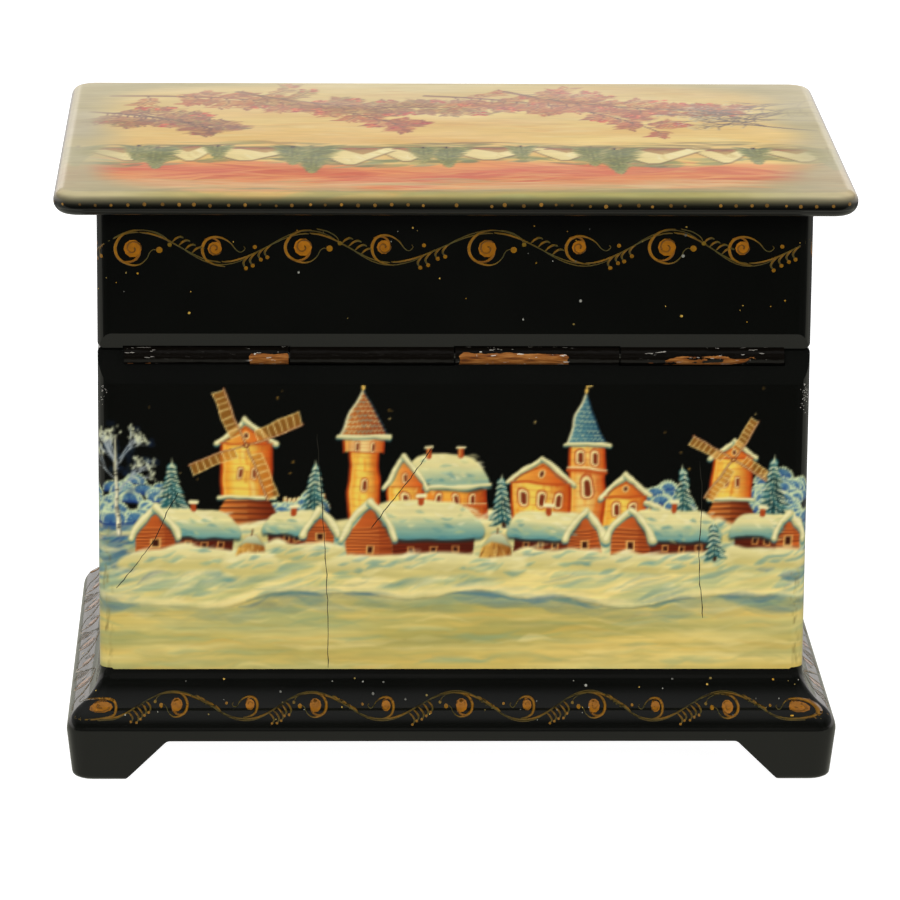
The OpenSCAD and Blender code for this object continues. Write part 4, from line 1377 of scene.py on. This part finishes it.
def painted_wall(name, start, end, across_step, up_step, canvas):
    """A film of paint over a part of the case."""
    cols = round((end - start) / across_step)
    rows = round((PAINT_HIGH - PAINT_LOW) / up_step)
    grid_u, grid_v = np.meshgrid(np.linspace(start, end, cols + 1),
                                 np.linspace(PAINT_LOW, PAINT_HIGH, rows + 1))
    places = on_wall(grid_u, grid_v, FILM)
    bm, paint = painted_mesh()
    place_grid(bm, places, paint, linear(np.clip(canvas.sample(grid_u, grid_v), 0, 1)))
    bmesh.ops.remove_doubles(bm, verts=bm.verts, dist=0.000005)
    return mesh_piece(name, "case", PAINTING, bm)


def painted_top(canvas):
    """The lid's picture: a flat field, and a rim that turns down over the plate's rounded edge."""
    half_x, half_y = PLATE_RING[:2]
    wide, deep, bend = 312, 216, 16
    bm, paint = painted_mesh()
    x, y = np.meshgrid(np.linspace(-half_x, half_x, wide + 1), np.linspace(-half_y, half_y, deep + 1))
    flat = np.stack([x, y, np.full(x.shape, PLATE_TOP + FILM)], -1)
    place_grid(bm, flat, paint, linear(np.clip(canvas.sample(x, y), 0, 1)))
    legs = lengths_round(*PLATE_RING)
    counts = (wide // 2, bend, deep, bend, wide, bend, deep, bend, wide // 2)
    parts = [np.linspace(legs[k], legs[k + 1], counts[k], endpoint=False) for k in range(9)]
    u = np.concatenate(parts + [legs[-1:]])
    level = PLATE_CORNER_R - PLATE_HIGH_R
    hem = level + 5.0
    t = np.concatenate([np.linspace(0, level, 6, endpoint=False), level + np.linspace(0, 5.0, 13), [hem]])
    over = np.clip((t - level) / PLATE_HIGH_R, 0, math.pi / 2)
    past = np.clip(t - level - math.pi / 2 * PLATE_HIGH_R - PLATE_SIDE, 0, None) / PLATE_LOW_R
    side = np.clip(t - level - math.pi / 2 * PLATE_HIGH_R, 0, PLATE_SIDE)
    out = np.minimum(t, level) + PLATE_HIGH_R * np.sin(over) - PLATE_LOW_R * (1 - np.cos(past))
    out += np.sin(over) * np.cos(past) * FILM
    down = PLATE_HIGH_R * (1 - np.cos(over)) + side + PLATE_LOW_R * np.sin(past) - np.cos(over) * FILM
    out[-1] -= SUNK + FILM
    reach, lengths = np.meshgrid(out, u, indexing="ij")
    x, y, angle = around(lengths, *PLATE_RING, reach - PLATE_CORNER_R)
    far = np.broadcast_to(t[:, None], x.shape) - reach
    places = np.stack([x, y, PLATE_TOP - np.broadcast_to(down[:, None], x.shape)], -1)
    colours = np.clip(canvas.sample(x + far * np.cos(angle), y + far * np.sin(angle)), 0, 1)
    colours = mix(colours, LACQUER_BLACK, np.clip((t - level - 1.6) / 2.4, 0, 1)[:, None])
    place_grid(bm, places, paint, linear(colours))
    bmesh.ops.remove_doubles(bm, verts=bm.verts, dist=0.00001)
    bmesh.ops.dissolve_degenerate(bm, edges=bm.edges, dist=0.000005)
    rim = [edge for edge in bm.edges if edge.is_boundary]
    bmesh.ops.edgeloop_fill(bm, edges=rim)
    return mesh_piece("lid_picture", "lid", PAINTING, bm)


walls_canvas = paint_walls()

# The four films meet just past the corners of the hinge side, which has the finest grid
HALF_SIDE = CORE_W / 2 + ARC / 2
SEAM = 1.2
FINE = (0.3, 0.33)
PLAIN = (0.42, 0.42)
for name, start, end, steps in (
        ("village_hinge_side", -HALF_SIDE - SEAM, HALF_SIDE + SEAM, FINE),
        ("village_right_of_hinge", HALF_SIDE + SEAM, GIRTH / 2 - HALF_SIDE, PLAIN),
        ("village_front", GIRTH / 2 - HALF_SIDE, GIRTH / 2 + HALF_SIDE, PLAIN),
        ("village_left_of_hinge", GIRTH / 2 + HALF_SIDE, GIRTH - HALF_SIDE - SEAM, PLAIN)):
    painted_wall(name, start, end, *steps, walls_canvas)
painted_top(paint_lid())


# Gold ornament

def curve_through(points, count):
    """A smooth line through points, in count steps."""
    points = np.asarray(points, float)
    spans = np.hypot(*(points[1:] - points[:-1]).T)
    mark = np.concatenate([[0], np.cumsum(np.sqrt(spans))])
    ends = np.vstack([2 * points[0] - points[1], points, 2 * points[-1] - points[-2]])
    made = []
    for s in np.linspace(0, mark[-1], count):
        k = min(int(np.searchsorted(mark, s, side="right")) - 1, len(points) - 2)
        t = (s - mark[k]) / (mark[k + 1] - mark[k])
        p0, p1, p2, p3 = ends[k:k + 4]
        made.append(0.5 * (2 * p1 + (p2 - p0) * t + (2 * p0 - 5 * p1 + 4 * p2 - p3) * t ** 2
                           + (3 * p1 - p0 - 3 * p2 + p3) * t ** 3))
    return np.array(made)


def gold_line(bm, paint, place, points, width, tones, crest=0.007, edge=-0.004):
    """A raised line of gold paint, thin at its ends, lying on the surface that place gives."""
    points = np.asarray(points, float)
    run = np.gradient(points, axis=0)
    run /= np.hypot(*run.T)[:, None] + 1e-9
    aside = np.stack([-run[:, 1], run[:, 0]], -1)
    half = (np.broadcast_to(width, len(points)) / 2)[:, None]
    left, right = points + aside * half, points - aside * half
    sides = np.stack([left, points, right, left])
    out = np.broadcast_to(np.array([edge, crest, edge, edge])[:, None], sides.shape[:2]).copy()
    out[1, 0] = out[1, -1] = edge
    places = place(sides[..., 0], sides[..., 1], out)
    tones = np.asarray(tones, float)
    shares = np.linspace(0, len(tones) - 1, len(points))
    colour = np.stack([np.interp(shares, range(len(tones)), tones[:, k]) for k in range(3)], -1)
    made = place_grid(bm, places, paint, np.broadcast_to(linear(colour), places.shape))
    bmesh.ops.remove_doubles(bm, verts=made, dist=0.000004)


def gold_dot(bm, paint, place, u, z, size, tone, crest=0.014):
    """A drop of gold paint, a low dome."""
    rings = np.array([1.0, 0.75, 0.0])
    turns = np.linspace(0, 2 * math.pi, 11)
    a, b = u + size * rings[:, None] * np.cos(turns), z + size * rings[:, None] * np.sin(turns)
    out = np.broadcast_to(np.array([-0.004, crest * 0.7, crest])[:, None], a.shape)
    places = place(a, b, out)
    made = place_grid(bm, places, paint, np.broadcast_to(linear(tone), places.shape))
    bmesh.ops.remove_doubles(bm, verts=made, dist=0.000004)


GOLDS = [srgb(code) for code in ("#6E5610", "#A87206", "#C07E04", "#5C5626", "#7C6012")]
DISC = srgb("#D28200")
CREST_RING = [(2.3, 4.1), (-0.3, 3.9), (-2.7, 2.7), (-4.0, 0.2), (-3.2, -2.2), (-0.6, -3.6), (1.6, -3.5),
              (3.2, -2.2), (3.9, -0.8), (4.8, -0.2), (5.5, -0.4)]
TROUGH_RING = [(2.6, 4.1), (0.2, 3.7), (-2.0, 2.5), (-2.8, 0.2), (-2.0, -1.8), (-0.3, -2.6), (1.6, -2.4),
               (3.5, -1.3), (4.8, 0.3), (5.9, 0.8), (6.8, 0.0), (6.3, -0.6)]
LEAF_UP = [(0, 0), (0.9, 0.9), (1.9, 1.3), (2.8, 1.0)]
LEAF_DOWN = [(0, 0), (-1.0, -0.8), (-1.6, -1.8), (-1.2, -2.8)]


def scroll_border(name, body, place, girth, middle, rise, size, spots, rng, side=1, tint=1.0, leaves=4,
                  long=1.0):
    """A running vine round the box: a volute in each bend, with curled leaves and dots between."""
    bm, paint = painted_mesh()
    count = len(spots)
    spots = np.asarray(spots, float)
    ahead = np.append(spots[1:], spots[0] + girth)
    thick, orange, bright, olive, brown = [tone * tint for tone in GOLDS]

    def line(points, steps, widths, tones):
        spread = np.linspace(0, 1, steps)
        gold_line(bm, paint, place, curve_through(points, steps),
                  np.interp(spread, np.linspace(0, 1, len(widths)), widths) * size, tones)

    def vine(s, lift=0.0):
        k = int(math.floor(s))
        t = s - k
        u = spots[k % count] + (ahead[k % count] - spots[k % count]) * t + girth * (k // count)
        v = middle + (rise + lift) * math.cos(math.pi * s) + 0.12 * math.sin(2.3 * s)
        return u + 1.4 * size * side, v

    for k in range(count):
        line([vine(k + t) for t in np.linspace(-0.02, 1.02, 9)], 17, [0.62, 0.72, 0.5, 0.4, 0.62],
             [thick, orange, thick, olive, brown, thick])
        line([vine(k + t, 0.6 * size) for t in np.linspace(-0.5, 0.34, 7)], 13, [0.2, 0.42, 0.4, 0.2],
             [olive, thick, olive])
        crest = k % 2 == 0
        centre = np.array([spots[k], middle + rng.uniform(-0.3, 0.3)])
        flip = np.array([side * size, size if crest else -size])
        ring = CREST_RING if crest else TROUGH_RING
        wobble = 1 + rng.uniform(-0.05, 0.05, 2)
        line(centre + np.array(ring) * flip * wobble, 36, [0.35, 0.8, 1.15, 0.95, 0.5, 0.36, 0.32],
             [thick, orange, bright, orange, olive, thick])
        full = 1.12 if crest else 0.88
        t = np.linspace(0, 1, 40)
        turn_by = -2.5 + t * 9.6
        reach = (0.5 + 1.0 * (1 - t) + 2.1 * np.clip(1 - t / 0.24, 0, 1) ** 1.2) * full
        snail = centre + np.stack([reach * np.cos(turn_by), reach * np.sin(turn_by)], -1) * flip
        gold_line(bm, paint, place, snail,
                  np.interp(t, [0, 0.12, 0.3, 1], [0.45, 0.85, 1.15, 1.3]) * size * full,
                  [DISC * tint * share for share in (0.7, 0.92, 1.0, 0.9, 1.05)])
        gold_dot(bm, paint, place, centre[0], centre[1], 1.95 * size * full,
                 DISC * tint * rng.uniform(0.88, 1.0))
        # A darker spiral line drawn over each drop of gold
        turn_by = np.linspace(0.4, 7.4, 22) + rng.uniform(-0.6, 0.6)
        reach = np.linspace(1.75, 0.3, 22) * full
        dark_spiral = centre + np.stack([reach * np.cos(turn_by), reach * np.sin(turn_by)], -1) * flip
        gold_line(bm, paint, place, dark_spiral, 0.34 * size, [DISC * 0.55, DISC * 0.72, DISC * 0.5], 0.024, 0.013)
        tail = centre + np.array((5.9, -0.3) if crest else (8.9, -0.4)) * flip
        gold_dot(bm, paint, place, tail[0], tail[1], (0.78 if crest else 0.5) * size, orange * 1.05)
        if crest:
            line(centre + np.array([(2.8, 4.2), (5.4, 3.6), (7.4, 2.4), (8.0, 1.3)]) * flip, 12,
                 [0.5, 0.4, 0.3], [thick, olive, brown])
            gold_dot(bm, paint, place, *(centre + np.array((8.2, 0.9)) * flip), 0.55 * size, brown * 1.15)
        curl = LEAF_UP if crest else LEAF_DOWN
        for m in range(leaves):
            start = np.array(vine(k + (0.40 if crest else 0.34) + 0.32 / leaves * m))
            drop = np.array(curl) * (side * size, size) * long * rng.uniform(0.85, 1.15)
            line(start + drop, 11, [0.35, 0.75, 0.85, 0.4], [thick, orange, thick, olive])
            if not crest:
                gold_dot(bm, paint, place, *(start + drop[3] + (0.15 * side, -0.05)), 0.5 * size, orange)
    return mesh_piece(name, body, GOLD, bm)


def on_plinth(u, z, out):
    """Places on the plinth's curved face, found by looking inwards from outside it."""
    x, y, angle = around(u * PLINTH_SHRINK, CORE_W / 2, CORE_D / 2, CORNER_R, PLINTH_CLEAR)
    z = PLINTH_BORDER_Z + PLINTH_SQUASH * (z - PLINTH_BORDER_Z)
    made = np.empty((*x.shape, 3))
    for spot in np.ndindex(x.shape):
        aim = Vector((-math.cos(angle[spot]), -math.sin(angle[spot]), 0))
        start = Vector((x[spot], y[spot], z[spot])) * MM
        hit, normal, _, _ = PLINTH_FACES.ray_cast(start, aim)
        made[spot] = (hit + normal * (out[spot] * 0.2 + PLINTH_FILM) * MM) / MM
    return made


def plinth_faces():
    bm = bmesh.new()
    for node in ("plinth_front", "plinth_back", "plinth_left", "plinth_right"):
        bm.from_mesh(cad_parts[node].data)
    tree = BVHTree.FromBMesh(bm)
    bm.free()
    return tree


PLINTH_FACES = plinth_faces()
PLINTH_GIRTH = 552.0
PLINTH_SHRINK = GIRTH / PLINTH_GIRTH
LID_BORDER_Z = 114.9
PLINTH_BORDER_Z = 15.9
PLINTH_SQUASH = 0.84
PLINTH_FILM = 0.03
# How far outside the case's wall the rays towards the plinth begin
PLINTH_CLEAR = 14.0

# Where each volute of the borders stands, from the middle of the hinge side
LID_SPOTS = [-67.4, -50.3, -31.9, -15.0, 6.6, 25.8, 44.2, 60.0, 79.0, 96.0, 113.5, 130.0, 147.5, 165.0,
             183.5, 201.0, 219.0, 237.0, 255.5, 273.0, 291.0, 309.0, 327.0, 345.0, 362.0, 379.5, 397.0, 414.5]
PLINTH_SPOTS = [-64.8, -47.6, -32.2, -15.6, 2.2, 17.6, 33.4, 47.9, 64.9] + [
    float(s) for s in np.linspace(80.5, PLINTH_GIRTH - 64.8 - 16.0, 25)]

scroll_border("lid_scroll", "lid", on_wall, GIRTH, LID_BORDER_Z, 3.2, 0.94, LID_SPOTS,
              np.random.default_rng(3), 1, 0.9)
scroll_border("plinth_scroll", "case", on_plinth, PLINTH_GIRTH, PLINTH_BORDER_Z, 2.7, 0.62, PLINTH_SPOTS,
              np.random.default_rng(4), -1, 0.82, leaves=5, long=1.35)


def cracks():
    """Fine cracks that run down through the painting of the hinge side, and one on the right."""
    bm, paint = painted_mesh()
    rng = np.random.default_rng(12)
    for points in (((-58.1, 62), (-60.5, 57.5), (-63, 52), (-67.2, 46), (-71.5, 40.6)),
                   ((-29, 75), (-28.2, 66), (-27.3, 52), (-26.6, 38), (-26.3, 22.9)),
                   ((-4.4, 72), (-8.5, 66), (-13, 60), (-17.5, 54)),
                   ((52, 69), (52.6, 60), (52.2, 47), (53.4, 34)),
                   ((96, 80), (97, 66), (95.5, 50), (96.6, 36))):
        line = curve_through(points, 30) + rng.normal(0, 0.07, (30, 2))
        gold_line(bm, paint, on_wall, line, rng.uniform(0.14, 0.26, 30),
                  [srgb("#16140E"), srgb("#2E2A1C"), srgb("#100F0B")], 0.03, 0.018)
    return mesh_piece("crackle", "case", PAINTING, bm)


def specks(name, body, place, bounds, count, seed):
    """Specks of gold and of pale dust that were caught in the lacquer."""
    rng = np.random.default_rng(seed)
    bm, paint = painted_mesh()
    low_u, high_u, low, high = bounds
    for k in range(count):
        tone = srgb(rng.choice(["#C8941E", "#A8A89C", "#8E7A3C", "#6E6E66", "#D8B04A"]))
        gold_dot(bm, paint, place, rng.uniform(low_u, high_u), rng.uniform(low, high),
                 0.12 + 0.26 * rng.random() ** 3, tone)
    return mesh_piece(name, body, GOLD, bm)


CHIPS_TOP = 85.2


def chips():
    """Small chips down to the pale ground, by the case's back corners."""
    bm, paint = painted_mesh()
    rng = np.random.default_rng(14)
    for middle, spread, count in ((74.2, 0.7, 40), (-74.2, 0.5, 16)):
        for k in range(count):
            start = np.array([middle + rng.normal(0, spread), CHIPS_TOP - abs(rng.normal(0, 2.8))])
            line = start + np.cumsum(rng.uniform(-0.16, 0.16, (5, 2)), 0)
            gold_line(bm, paint, on_wall, line, rng.uniform(0.08, 0.42, 5), [(0.8, 0.8, 0.8)] * 2, 0.03,
                      0.005)
    return mesh_piece("edge_chips", "case", CHIPPED, bm)


def red_board():
    """Red lacquer on the part of the plate's underside that closes the lid."""
    bm = bmesh.new()
    made = bmesh.ops.create_grid(bm, x_segments=1, y_segments=1, size=1.0)["verts"]
    bmesh.ops.reverse_faces(bm, faces=bm.faces)
    for vert in made:
        vert.co = (vert.co.x * INSIDE_X * MM, vert.co.y * INSIDE_Y * MM, (PLATE_UNDER - FILM) * MM)
    return mesh_piece("lid_inside_red", "lid", RED, bm, facing_out=False)


DOTS_Z = 125.9
DOT_GAP = 3.4


def plate_dots():
    """A row of gold drops round the edge of the lid's plate."""
    rng = np.random.default_rng(9)
    bm, paint = painted_mesh()
    girth = 2 * (PLATE_W + PLATE_D - 4 * PLATE_CORNER_R) + 2 * math.pi * PLATE_CORNER_R
    count = round(girth / DOT_GAP)
    for k in range(count):
        if rng.random() < 0.9:
            gold_dot(bm, paint, on_plate_edge, girth * k / count + rng.uniform(-0.4, 0.4),
                     DOTS_Z + rng.uniform(-0.2, 0.2), rng.uniform(0.28, 0.44),
                     srgb("#A8782C") * rng.uniform(0.55, 1.05))
    return mesh_piece("plate_edge_dots", "lid", GOLD, bm)


chips()
red_board()
cracks()
specks("lid_wall_specks", "lid", on_wall, (0, GIRTH, 98, 120), 150, 41)
specks("plinth_specks", "case", on_plinth, (0, PLINTH_GIRTH, 13.0, 22.0), 160, 42)
plate_dots()
